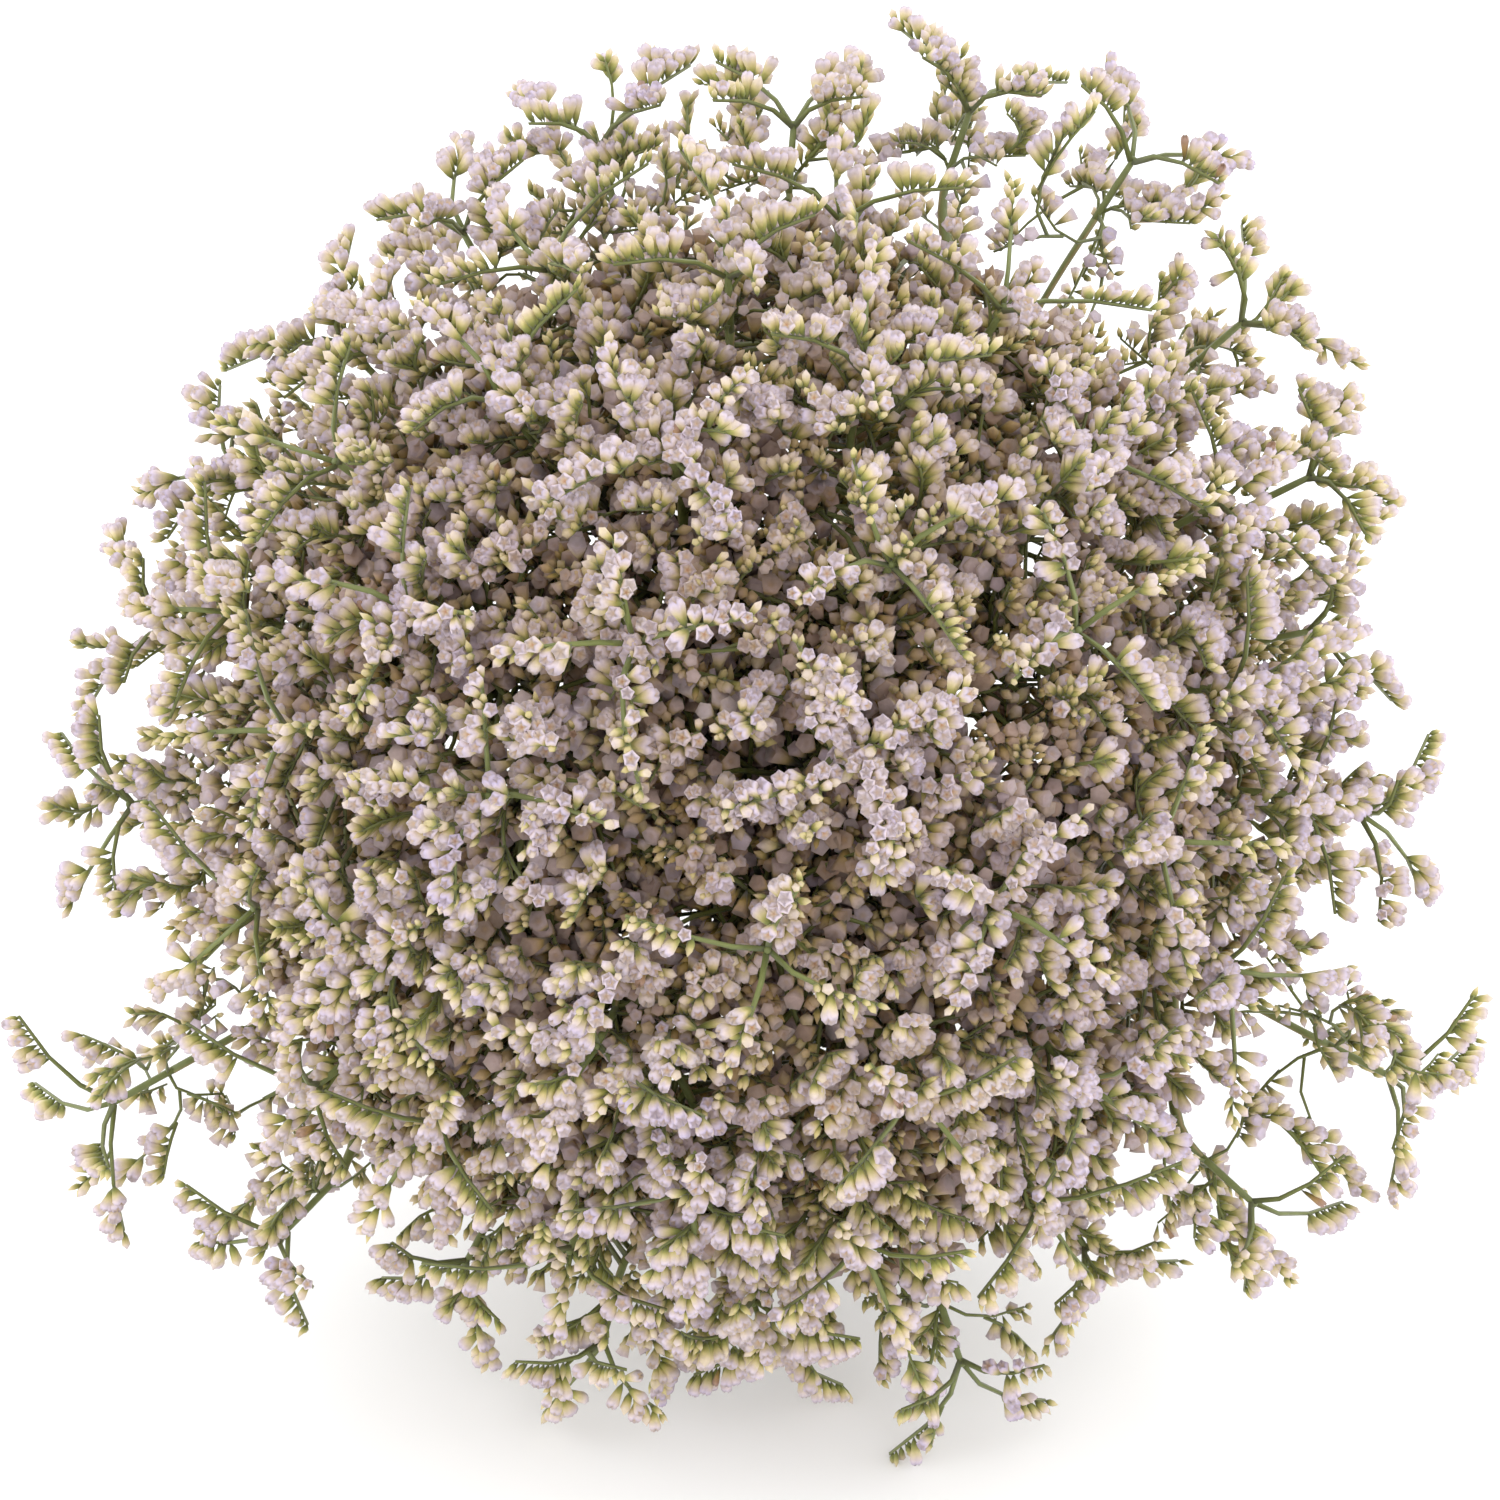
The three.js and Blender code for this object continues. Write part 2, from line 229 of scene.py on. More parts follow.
def closed_grid(rings: int, sides: int) -> tuple[FaceSet, FaceSet]:
    """Join neighbouring rings by quads and the end rings to their poles by triangles.

    Point 0 is the first pole, then come the rings one after another, then the last pole.

    Args:
        rings: How many rings there are.
        sides: How many points each ring has.

    Returns:
        The quads and the triangles.
    """
    around = np.arange(sides)
    onward = (around + 1) % sides
    ring, side = (grid.ravel() for grid in np.indices((rings - 1, sides)))
    low = 1 + ring * sides
    high = low + sides
    quads = np.stack([low + side, low + onward[side], high + onward[side], high + side], axis=1)
    last = 1 + (rings - 1) * sides
    pole = np.zeros(sides, dtype=int)
    first_fan = np.stack([pole, onward + 1, around + 1], axis=1)
    last_fan = np.stack([pole + last + sides, last + around, last + onward], axis=1)
    step = 1 / (rings + 1)
    row = (ring + 1) * step
    left, right, middle = around / sides, (around + 1) / sides, (around + 0.5) / sides
    bottom, top = np.full(sides, step), np.full(sides, 1 - step)
    quad_map = (
        (left[side], row),
        (right[side], row),
        (right[side], row + step),
        (left[side], row + step),
    )
    first_map = ((middle, np.zeros(sides)), (right, bottom), (left, bottom))
    last_map = ((middle, np.ones(sides)), (left, top), (right, top))
    places = [
        np.stack([np.stack(pair, axis=1) for pair in corners], axis=1).reshape(-1, 2)
        for corners in (quad_map, first_map, last_map)
    ]
    fans = FaceSet(np.vstack([first_fan, last_fan]), np.vstack(places[1:]))
    return FaceSet(quads, places[0]), fans


def tubes(
    paths: np.ndarray,
    headings: np.ndarray,
    references: np.ndarray,
    radii: np.ndarray,
    section: np.ndarray,
) -> np.ndarray:
    """Carry a cross-section along paths.

    At each point of a path two unit vectors square to its heading span the section's plane, the
    first one turned as far as it can be towards the reference. A section point stands at its angle
    there, at the path's radius times the section's own share. Each end is closed by a point that
    stands out from it by a share of the radius.

    Args:
        paths: Points of shape (tubes, rings, 3).
        headings: Unit headings of the same shape.
        references: Vectors that fix the section's turn, of the same shape.
        radii: Radii of shape (tubes, rings).
        section: Shares of the radius, one for each side.

    Returns:
        Vertices of shape (tubes, 2 + rings * sides, 3), in the order of closed_grid.
    """
    first = square_to(references, headings)
    second = np.cross(headings, first)
    angle = (np.arange(len(section)) + 0.5) * FULL_TURN / len(section)
    across = radii[:, :, None] * section * np.cos(angle)
    upward = radii[:, :, None] * section * np.sin(angle)
    rings = (
        paths[:, :, None]
        + first[:, :, None] * across[..., None]
        + second[:, :, None] * upward[..., None]
    )
    start = paths[:, :1] - headings[:, :1] * radii[:, :1, None] * POLE_RISE
    end = paths[:, -1:] + headings[:, -1:] * radii[:, -1:, None] * POLE_RISE
    return np.concatenate([start, rings.reshape(len(paths), -1, 3), end], axis=1)


@dataclass
class Batch:
    """Copies of one closed grid, with the values that the materials read.

    Attributes:
        vertices: Points of shape (copies, points, 3).
        faces: The quads and the triangles that every copy has.
        along: Each point's place along its form, of shape (points) or (copies, points).
        tone: The colour tone of each copy.
        age: How much painted shade darkens each copy.
        slot: Which of the mesh's materials the copies wear.
    """

    vertices: np.ndarray
    faces: tuple[FaceSet, FaceSet]
    along: np.ndarray
    tone: np.ndarray
    # Painted shade: how far the material darkens a copy, standing in for the shade deep inside the
    # head
    age: np.ndarray
    slot: int = 0

    def values(self) -> dict[str, np.ndarray]:
        """Spread the batch's values over its points.

        Returns:
            Each point's place along its form, its tone and its painted shade, by the attributes'
            names.
        """
        copies, points = self.vertices.shape[:2]
        return {
            "along": np.broadcast_to(self.along, (copies, points)).ravel(),
            "tone": np.repeat(self.tone, points),
            "age": np.repeat(self.age, points),
        }

    def corners(self, faces: FaceSet, first_point: int) -> np.ndarray:
        """Number the corners of all copies of some faces.

        Args:
            faces: The faces, either kind.
            first_point: The number of the batch's first point in the mesh.

        Returns:
            The points' numbers, one row for each face.
        """
        copies, points = self.vertices.shape[:2]
        starts = first_point + np.arange(copies)[:, None, None] * points
        return (faces.corners + starts).reshape(-1, faces.corners.shape[1])

    def places(self, faces: FaceSet, first_tile: int) -> np.ndarray:
        """Place the corners of all copies of some faces on the mesh's map.

        Args:
            faces: The faces, either kind.
            first_tile: The number of the first copy's tile.

        Returns:
            Each corner's place in its tile, and the tile's number.
        """
        copies, corners = len(self.vertices), len(faces.places)
        places = np.broadcast_to(faces.places, (copies, corners, 2))
        tile = (first_tile + np.arange(copies))[:, None, None]
        tiles = np.broadcast_to(tile, (copies, corners, 1))
        return np.concatenate([places, tiles], axis=2).reshape(-1, 3)


@dataclass
class MeshBag:
    """Batches of closed grids gathered for one mesh.

    Attributes:
        batches: What is in the bag so far.
        map_name: The name of the mesh's own map.
        map_margin: The share of a tile's side that stays free at each edge.
    """

    batches: list[Batch] = field(default_factory=list)
    map_name: str = "OFBake"
    map_margin: float = 0.04

    def add(self, batch: Batch) -> None:
        """Put a batch in the bag."""
        self.batches.append(batch)

    def build(
        self, name: str, laying: Laying, materials: list[bpy.types.Material]
    ) -> bpy.types.Object:
        """Make the mesh, first all its quads and then all its triangles, and its object.

        Args:
            name: The object's name.
            laying: How the plant is laid down.
            materials: The materials of the mesh's slots.

        Returns:
            The new object, which is at the origin.
        """
        points = [batch.vertices.reshape(-1, 3) for batch in self.batches]
        first_points = np.cumsum([0] + [len(part) for part in points])
        first_tiles = np.cumsum([0] + [len(batch.vertices) for batch in self.batches])
        corners, sizes, slots, maps = [], [], [], []
        for kind in range(2):
            for batch, point, tile in zip(self.batches, first_points, first_tiles):
                faces = batch.corners(batch.faces[kind], point)
                corners.append(faces.ravel())
                sizes.append(np.full(len(faces), faces.shape[1]))
                slots.append(np.full(len(faces), batch.slot))
                maps.append(batch.places(batch.faces[kind], tile))
        mesh = self.mesh(name, laying.place(np.concatenate(points)), corners, sizes, slots)
        for key in self.batches[0].values():
            values = np.concatenate([batch.values()[key] for batch in self.batches])
            attribute = mesh.attributes.new(key, "FLOAT", "POINT")
            attribute.data.foreach_set("value", values.astype(np.float32))
        self.add_map(mesh, np.concatenate(maps), int(first_tiles[-1]))
        for material in materials:
            mesh.materials.append(material)
        mesh.validate()
        item = bpy.data.objects.new(name, mesh)
        bpy.context.scene.collection.objects.link(item)
        return item

    @staticmethod
    def mesh(
        name: str,
        places: np.ndarray,
        corners: list[np.ndarray],
        sizes: list[np.ndarray],
        slots: list[np.ndarray],
    ) -> bpy.types.Mesh:
        """Fill a mesh with smooth faces.

        Args:
            name: The mesh's name.
            places: The points, metres.
            corners: The points' numbers at the faces' corners.
            sizes: How many corners each face has.
            slots: Which material each face wears.

        Returns:
            The new mesh.
        """
        corner, size = np.concatenate(corners), np.concatenate(sizes)
        mesh = bpy.data.meshes.new(name)
        mesh.vertices.add(len(places))
        mesh.vertices.foreach_set("co", places.astype(np.float32).ravel())
        mesh.loops.add(len(corner))
        mesh.loops.foreach_set("vertex_index", corner.astype(np.int32))
        mesh.polygons.add(len(size))
        mesh.polygons.foreach_set("loop_start", (np.cumsum(size) - size).astype(np.int32))
        mesh.polygons.foreach_set("material_index", np.concatenate(slots).astype(np.int32))
        mesh.polygons.foreach_set("use_smooth", np.ones(len(size), dtype=bool))
        mesh.update(calc_edges=True)
        return mesh

    def add_map(self, mesh: bpy.types.Mesh, maps: np.ndarray, copies: int) -> None:
        """Give the mesh its own map, on which every copy has a square tile, row by row.

        Args:
            mesh: The mesh.
            maps: Each corner's place in its tile, and the tile's number.
            copies: How many tiles there are.
        """
        across = math.ceil(math.sqrt(copies))
        tile = maps[:, 2].astype(int)
        corner = np.stack([tile % across, tile // across], axis=1)
        spread = (corner + self.map_margin + (1 - 2 * self.map_margin) * maps[:, :2]) / across
        layer = mesh.uv_layers.new(name=self.map_name)
        layer.uv.foreach_set("vector", spread.astype(np.float32).ravel())


# The flowers' forms


PETALS = 5


@dataclass(frozen=True)
class Ring:
    """One ring of a turned form.

    Attributes:
        radius: Its mean radius, mm.
        height: Its mean height, mm.
        along: Its place from the foot, 0, over the rim, 1, to the heart, 2.
        lobe: How much the radius swells and shrinks round the petals, as a share.
        crease_shade: How far along the points between two petals are moved on, onto the ramp's
            darker stop: painted shade in the creases.
    """

    radius: float
    height: float
    along: float
    lobe: float = 0.0
    crease_shade: float = 0.0


@dataclass(frozen=True)
class TurnedForm:
    """A small closed form round an axis, with five lobes or none, stamped many times.

    Attributes:
        sides: How many points each ring has.
        foot: The height of the foot's point, mm.
        rings: The rings, from the foot up.
        tip: The height of the tip's point, mm.
        tip_along: The tip's place between the foot, 0, and the heart, 2.
        flatness: The form's second width as a share of its first.
        dip: How far a ring falls back where it swells, as a share of the swelling.
    """

    sides: int
    foot: float
    rings: tuple[Ring, ...]
    tip: float
    tip_along: float
    flatness: float = 1.0
    dip: float = 0.8

    def angles(self) -> np.ndarray:
        """Return the angles of a ring's points, in even steps from zero."""
        return np.arange(self.sides) * FULL_TURN / self.sides

    def wave(self) -> np.ndarray:
        """Return minus the cosine of five times the angle: 1 in a petal, -1 between two."""
        return -np.cos(PETALS * self.angles())

    def points(self) -> np.ndarray:
        """Work out the form's points.

        A ring's radius swells and shrinks five times round by its lobe, narrowest at the first
        point, and falls back a little where it swells.

        Returns:
            Points of shape (points, 3), in the order of closed_grid.
        """
        angle, wave = self.angles(), self.wave()
        sizes = np.array([(ring.radius, ring.height, ring.lobe) for ring in self.rings])
        radius, height, lobe = sizes.T[..., None]
        reach = radius * (1 + lobe * wave)
        level = height - self.dip * lobe * wave * radius
        across = self.flatness * reach * np.sin(angle)
        grid = np.stack([reach * np.cos(angle), across, level], axis=-1).reshape(-1, 3)
        return np.vstack([(0.0, 0.0, self.foot), grid, (0.0, 0.0, self.tip)])

    def along(self) -> np.ndarray:
        """Return each point's place between foot and heart, the crease shade moving it on between
        petals.
        """
        rows = [ring.along - ring.crease_shade * self.wave() for ring in self.rings]
        return np.concatenate([[0.0], *rows, [self.tip_along]])

    def faces(self) -> tuple[FaceSet, FaceSet]:
        """Return the form's quads and triangles."""
        return closed_grid(len(self.rings), self.sides)

    def stamp(
        self,
        origins: np.ndarray,
        axes: np.ndarray,
        sideways: np.ndarray,
        widths: np.ndarray,
        lengths: np.ndarray,
    ) -> np.ndarray:
        """Copy the form onto many frames.

        Args:
            origins: Where each foot stands, of shape (copies, 3).
            axes: Unit vectors from foot to flower.
            sideways: Vectors that fix each copy's turn.
            widths: Each copy's share of the form's width.
            lengths: Each copy's share of the form's length.

        Returns:
            Vertices of shape (copies, points, 3).
        """
        first = square_to(sideways, axes)
        second = np.cross(axes, first)
        x, y, z = self.points().T
        return (
            origins[:, None]
            + first[:, None] * (widths[:, None] * x)[..., None]
            + second[:, None] * (widths[:, None] * y)[..., None]
            + axes[:, None] * (lengths[:, None] * z)[..., None]
        )


# The forms' sides, feet, rings, tips and tips' places along, as TurnedForm and Ring name them
OPEN_RINGS = (
    Ring(0.78, 1.5, 0.24),
    Ring(1.5, 4.8, 0.95, lobe=0.12),
    Ring(1.12, 5.9, 1.33, lobe=0.3, crease_shade=0.09),
)
OPEN_FLORET = TurnedForm(10, -0.2, OPEN_RINGS, 4.7, 2.0)
CLOSED_FLORET = TurnedForm(5, -0.2, (Ring(0.85, 1.8, 0.28), Ring(1.12, 4.3, 0.82)), 5.8, 1.1)
POINTED_BUD = TurnedForm(5, -0.2, (Ring(0.86, 1.4, 0.26), Ring(0.74, 2.9, 0.6)), 4.5, 0.9)
PLAIN_OPEN_FLORET = TurnedForm(5, -0.2, (Ring(1.55, 5.3, 1.1),), 4.6, 1.6)
PLAIN_CLOSED_FLORET = TurnedForm(5, -0.2, (Ring(1.15, 3.8, 0.74),), 5.7, 1.1)
PLAIN_BUD = TurnedForm(4, -0.2, (Ring(0.95, 2.4, 0.5),), 4.7, 0.9)
BROWN_SCALE = TurnedForm(
    6, -0.8, (Ring(1.3, 0.8, 0.93), Ring(1.05, 2.6, 1.0)), 5.0, 1.0, flatness=0.4
)


class Stage(Enum):
    """How far a floret has opened."""

    OPEN = 0
    CLOSED = 1
    BUD = 2


FINE_FORMS = {
    Stage.OPEN: OPEN_FLORET,
    Stage.CLOSED: CLOSED_FLORET,
    Stage.BUD: POINTED_BUD,
}
PLAIN_FORMS = {
    Stage.OPEN: PLAIN_OPEN_FLORET,
    Stage.CLOSED: PLAIN_CLOSED_FLORET,
    Stage.BUD: POINTED_BUD,
}
DEEP_FORMS = {**PLAIN_FORMS, Stage.BUD: PLAIN_BUD}


class PieceSlot(Enum):
    """The material slots of a flower piece's mesh."""

    PAPER = 0
    GREEN = 1


@dataclass(frozen=True)
class FloretHabit:
    """How florets stand, grow and ripen along a twig, all over the plant.

    Lengths are in mm. A draw is a pair, its lowest and highest value, and a spread is the
    deviation of a normal draw. A fall or rise is the change from where the florets begin to the
    twig's end.
    """

    # Steps along the twig: its length as a share of the way over its control points, the least
    # bare length, and how far a floret strays from its step, as a share of the step
    twig_share: float = 0.96
    bare_start: float = 1.2
    stray: float = 0.3
    # The axis: its leans to the side and forward, and the weights of the way out and the top
    side_spread: float = 0.38
    forward: float = 0.1
    forward_rise: float = 0.7
    forward_spread: float = 0.28
    outward: float = 0.6
    upward: float = 0.6
    twist: float = 0.6
    # The size, as shares of the form's
    width: float = 1.08
    width_fall: float = 0.2
    width_draw: tuple[float, float] = (0.82, 1.16)
    length: float = 1.1
    length_fall: float = 0.25
    length_draw: tuple[float, float] = (0.8, 1.16)
    # The ripeness from which a floret is open, or else closed and no bud, and the share of the
    # bearing stretch from which none is open
    ripeness_spread: float = 0.28
    ripeness_fall: float = 0.5
    open_from: float = 0.5
    closed_from: float = 0.24
    end_from: float = 0.95
    end_closed_from: float = 0.6
    # The colour, the spread of each floret's painted shade about its twig's, and the florets that
    # wither, which take the tints' last tone
    tone_spread: float = 0.13
    tone_limit: float = 0.93
    painted_shade_spread: float = 0.08
    heart_draw: tuple[float, float] = (0.72, 1.0)
    withered_from: float = 0.996
    withered_tone: float = 1.0
    withered_width: float = 0.6


@dataclass
class Crests:
    """A batch of short curved twigs, each with two rows of florets on one side.

    Attributes:
        controls: Control points of the twigs, of shape (twigs, 3, 3).
        bearing: How much of each twig's end carries florets, mm.
        radii: Each twig's radius at its start, mm.
        rolls: How far each crest is turned round its twig from facing the fan's direction.
        openness: How open each twig's florets are, from 0 to 1.
        tones: The colour tone round which each twig's florets vary.
        ages: How much painted shade darkens each twig and its florets.
        fan: The point that the florets fan out from.
        forms: The form of each stage of a floret.
        spacing: The step from one floret to the next, mm.
        lean: How far the two rows lean apart.
        size: The florets' size, as a share of their forms'.
        sides: How many sides a twig has.
        rings: How many rings a twig has.
        taper: How much thinner a twig's end is than its start, as a share.
        twig_along: The highest place along its form that a twig's end has.
        green_tones: The twigs' tone for a floret's tone of 0, and how it rises with that tone.
        habit: How the florets stand, grow and ripen.
    """

    controls: np.ndarray
    bearing: np.ndarray
    radii: np.ndarray
    rolls: np.ndarray
    openness: np.ndarray
    tones: np.ndarray
    ages: np.ndarray
    fan: np.ndarray
    forms: dict[Stage, TurnedForm] = field(default_factory=lambda: FINE_FORMS)
    spacing: float = 1.15
    lean: float = 0.6
    size: float = 1.0
    sides: int = 3
    rings: int = 4
    taper: float = 0.45
    twig_along: float = 0.3
    green_tones: tuple[float, float] = (0.35, 0.5)
    habit: FloretHabit = FloretHabit()

    def add_twigs(self, bag: MeshBag) -> None:
        """Add the twigs, which taper towards their ends.

        Args:
            bag: Where the twigs go.
        """
        shape = (len(self.controls), self.rings)
        shares = np.broadcast_to(np.linspace(0.0, 1.0, self.rings), shape)
        paths = bezier(self.controls, shares)
        headings = bezier_heading(self.controls, shares)
        radii = self.radii[:, None] * (1 - self.taper * shares)
        vertices = tubes(paths, headings, paths - self.fan, radii, np.ones(self.sides))
        along = self.twig_along * np.concatenate([[0.0], np.repeat(shares[0], self.sides), [1.0]])
        start, rise = self.green_tones
        tones = start + rise * self.tones
        faces = closed_grid(self.rings, self.sides)
        bag.add(Batch(vertices, faces, along, tones, self.ages, PieceSlot.GREEN.value))

    def stations(self, random: np.random.Generator) -> tuple[np.ndarray, np.ndarray, np.ndarray]:
        """Step along the ends of the twigs, from where they begin to carry florets.

        Args:
            random: The draws.

        Returns:
            Whether a floret stands at each step, the step's share of its twig, and its share of
            the stretch that carries florets, all of shape (twigs, steps).
        """
        chords = np.linalg.norm(np.diff(self.controls, axis=1), axis=2).sum(axis=1)
        lengths = self.habit.twig_share * chords
        starts = np.maximum(lengths - self.bearing, self.habit.bare_start)
        steps = np.arange(int((lengths - starts).max() / self.spacing) + 2)
        strays = random.uniform(-self.habit.stray, self.habit.stray, (len(starts), len(steps)))
        station = starts[:, None] + (steps + strays) * self.spacing
        used = station <= lengths[:, None] + 0.5 * self.spacing
        shares = np.clip(station / lengths[:, None], 0.0, 1.0)
        ends = np.clip((station - starts[:, None]) / (lengths - starts)[:, None], 0.0, 1.0)
        return used, shares, ends

    def axes(
        self,
        places: np.ndarray,
        headings: np.ndarray,
        ends: np.ndarray,
        random: np.random.Generator,
    ) -> tuple[np.ndarray, np.ndarray]:
        """Point the florets, turn about on the left and the right of their twig.

        A floret's axis is a mix of the way out from the fan's point, the crest's top, its own side
        and the way forward along the twig.

        Args:
            places: Where the florets stand.
            headings: The twigs' unit headings there.
            ends: The florets' shares of the stretch that carries them.
            random: The draws.

        Returns:
            The florets' unit axes, and the unit vectors across their twigs.
        """
        habit, shape = self.habit, ends.shape
        outward = unit(places - self.fan)
        rolls = np.broadcast_to(self.rolls[:, None], shape)
        top = turned(square_to(outward, headings), headings, rolls)
        across = np.cross(top, headings)
        side = np.where(np.arange(shape[1]) % 2 == 0, 1.0, -1.0) * np.ones(shape)
        lean = self.lean * side + random.normal(0.0, habit.side_spread, shape)
        rise = habit.forward + habit.forward_rise * ends
        forward = rise + random.normal(0.0, habit.forward_spread, shape)
        sidelong = across * lean[..., None] + headings * forward[..., None]
        return unit(habit.outward * outward + habit.upward * top + sidelong), across

    def stages(self, ends: np.ndarray, random: np.random.Generator) -> np.ndarray:
        """Choose how far each floret has opened: the less, the nearer it is to its twig's end.

        Args:
            ends: The florets' shares of the stretch that carries them.
            random: The draws.

        Returns:
            The values of the florets' stages.
        """
        habit = self.habit
        opened, closed, bud = (stage.value for stage in Stage)
        drawn = random.normal(0.0, habit.ripeness_spread, ends.shape)
        ripeness = self.openness[:, None] + drawn - habit.ripeness_fall * (ends - 0.5)
        unopened = np.where(ripeness > habit.closed_from, closed, bud)
        along = np.where(ripeness > habit.open_from, opened, unopened)
        at_end = np.where(ripeness > habit.end_closed_from, closed, bud)
        return np.where(ends > habit.end_from, at_end, along)

    def add_florets(self, bag: MeshBag, random: np.random.Generator) -> int:
        """Add the florets, and draw each one's size, stage, tone and painted shade.

        Args:
            bag: Where the florets go.
            random: The draws.

        Returns:
            How many florets there are.
        """
        habit = self.habit
        used, shares, ends = self.stations(random)
        shape = shares.shape
        places = bezier(self.controls, shares)
        headings = bezier_heading(self.controls, shares)
        axes, across = self.axes(places, headings, ends, random)
        widths = self.size * (habit.width - habit.width_fall * ends)
        widths = widths * random.uniform(*habit.width_draw, shape)
        lengths = self.size * (habit.length - habit.length_fall * ends)
        lengths = lengths * random.uniform(*habit.length_draw, shape)
        stages = self.stages(ends, random)
        tones = self.tones[:, None] + random.normal(0.0, habit.tone_spread, shape)
        tones = np.clip(tones, 0.0, habit.tone_limit)
        withered = random.uniform(0.0, 1.0, shape) > habit.withered_from
        tones = np.where(withered, habit.withered_tone, tones)
        widths = np.where(withered, habit.withered_width * widths, widths)
        # Painted shade: each floret is darkened about as much as its twig, standing in for shade
        # inside the head
        ages = self.ages[:, None] + random.normal(0.0, habit.painted_shade_spread, shape)
        ages = np.clip(ages, 0.0, 1.0)
        twists = random.uniform(-habit.twist, habit.twist, shape)
        sideways = across + headings * twists[..., None]
        hearts = random.uniform(*habit.heart_draw, shape)
        for stage, form in self.forms.items():
            chosen = used & (stages == stage.value)
            frames = (array[chosen] for array in (places, axes, sideways, widths, lengths))
            vertices = form.stamp(*frames)
            along = np.repeat(form.along()[None], len(vertices), axis=0)
            along[:, -1] *= hearts[chosen]
            slot = PieceSlot.PAPER.value
            bag.add(Batch(vertices, form.faces(), along, tones[chosen], ages[chosen], slot))
        return int(used.sum())


# The head


@dataclass
class Head:
    """Where the sprays stand: a spiral over the dome, then the rim, all fanned from one point.

    Attributes:
        radius: The dome's reach at the rim, mm.
        height: The dome's height over the rim, mm.
        inner_sprays: How many sprays stand over the dome.
        lowest: The share of the dome's height at which their spiral ends.
        unevenness: How much their tops differ in height, mm.
        fan_depth: How far the fan's point lies below the rim, mm.
        spray_depth: How far a spray's root lies below its top, mm.
        cell_gap: The gap that a spray keeps inside its border, mm.
        rim: The angle in degrees, the reach and the height in mm of each spray of the rim.
        centre: The fan's point.
        directions: Each spray's unit direction from the fan's point.
        roots: The point that each spray grows from.
    """

    radius: float = 150.0
    height: float = 116.0
    inner_sprays: int = 37
    lowest: float = 0.3
    unevenness: float = 7.0
    fan_depth: float = 70.0
    spray_depth: float = 38.0
    cell_gap: float = 0.25
    rim: tuple[tuple[int, int, int], ...] = (
        (354, 164, 12), (12, 156, 4), (26, 165, 16), (41, 174, 8), (57, 184, 14), (71, 180, 6),
        (86, 166, 14), (104, 168, 4), (119, 158, 14), (135, 157, 4), (152, 156, 14), (168, 162, 4),
        (185, 165, 14), (209, 192, 8), (226, 176, 14), (241, 158, 8), (256, 161, 21),
        (272, 152, 12), (289, 170, 18), (304, 162, 6), (318, 178, 14), (333, 190, 6),
    )
    centre: np.ndarray = field(init=False)
    directions: np.ndarray = field(init=False)
    roots: np.ndarray = field(init=False)

    def __post_init__(self) -> None:
        """Work out every spray's direction from the fan's point, and its root below its top."""
        self.centre = np.array([0.0, 0.0, -self.fan_depth])
        tops = np.vstack([self.inner_tops(), self.rim_tops()])
        self.directions = unit(tops - self.centre)
        self.roots = tops - self.spray_depth * self.directions

    def inner_tops(self) -> np.ndarray:
        """Work out the tops over the dome: even steps of height, each a golden angle on.

        Returns:
            Points of shape (inner sprays, 3).
        """
        index = np.arange(self.inner_sprays)
        cosine = 1 - (index + 0.5) / self.inner_sprays * (1 - self.lowest)
        reach = self.radius * np.sqrt(1 - cosine**2)
        angle = index * GOLDEN_ANGLE
        height = self.height * cosine + self.unevenness * (even_draw(index, 1) - 0.5)
        return np.stack([reach * np.cos(angle), reach * np.sin(angle), height], axis=1)

    def rim_tops(self) -> np.ndarray:
        """Work out the tops round the rim, from their angles, reaches and heights.

        Returns:
            Points of shape (sprays of the rim, 3).
        """
        degrees, reach, height = np.array(self.rim, dtype=float).T
        angle = np.radians(degrees)
        return np.stack([reach * np.cos(angle), reach * np.sin(angle), height], axis=1)

    def inside_cell(self, index: int, points: np.ndarray) -> np.ndarray:
        """Measure how far points lie inside a spray's cell of the fan.

        The border with another spray is the plane halfway between their directions, through the
        fan's point.

        Args:
            index: Which spray.
            points: Points of shape (points, 3).

        Returns:
            The least distance from each point to a border, below zero outside.
        """
        others = np.delete(self.directions, index, axis=0)
        borders = unit(others - self.directions[index])
        return (-(points - self.centre) @ borders.T).min(axis=1) - self.cell_gap


@dataclass
class Branch:
    """A branch of the stem.

    Attributes:
        controls: The control points of its line, from its fork to its tip.
        tips: How many tips it carries at each step of the way.
        facing: The way that its tip faces.
        carried: How many tips its parent carries at the fork.
    """

    controls: np.ndarray
    tips: list[int]
    facing: np.ndarray
    carried: int


@dataclass
class Tree:
    """The points of the stem grown so far.

    Attributes:
        places: The points.
        parents: The number of each point's parent, -1 at the root.
        ways: How far each point is from the root, mm.
        forks: Whether a branch may start at each point.
        tips: How many tips each point carries.
    """

    places: list[np.ndarray]
    parents: list[int]
    ways: list[float]
    forks: list[bool]
    tips: list[int]

    def heading(self, point: int) -> np.ndarray:
        """Return the unit heading from a point's parent to the point."""
        return unit(self.places[point] - self.places[max(self.parents[point], 0)])

    def extend(self, start: int, points: np.ndarray, length: float) -> list[int]:
        """Grow a branch, and count its tip at each point of the way back to the root.

        Args:
            start: The number of the point that the branch starts from.
            points: The branch's points after that one, in equal steps.
            length: The branch's length, mm.

        Returns:
            The numbers of the branch's points.
        """
        count = len(points)
        own = list(range(len(self.places), len(self.places) + count))
        self.places.extend(points)
        self.parents.extend([start, *own[:-1]])
        self.ways.extend(self.ways[start] + (k / count) * length for k in range(1, count + 1))
        self.forks.extend([True] * (count - 1) + [False])
        self.tips.extend([0] * count)
        at = own[-1]
        while at >= 0:
            self.tips[at] += 1
            at = self.parents[at]
        return own


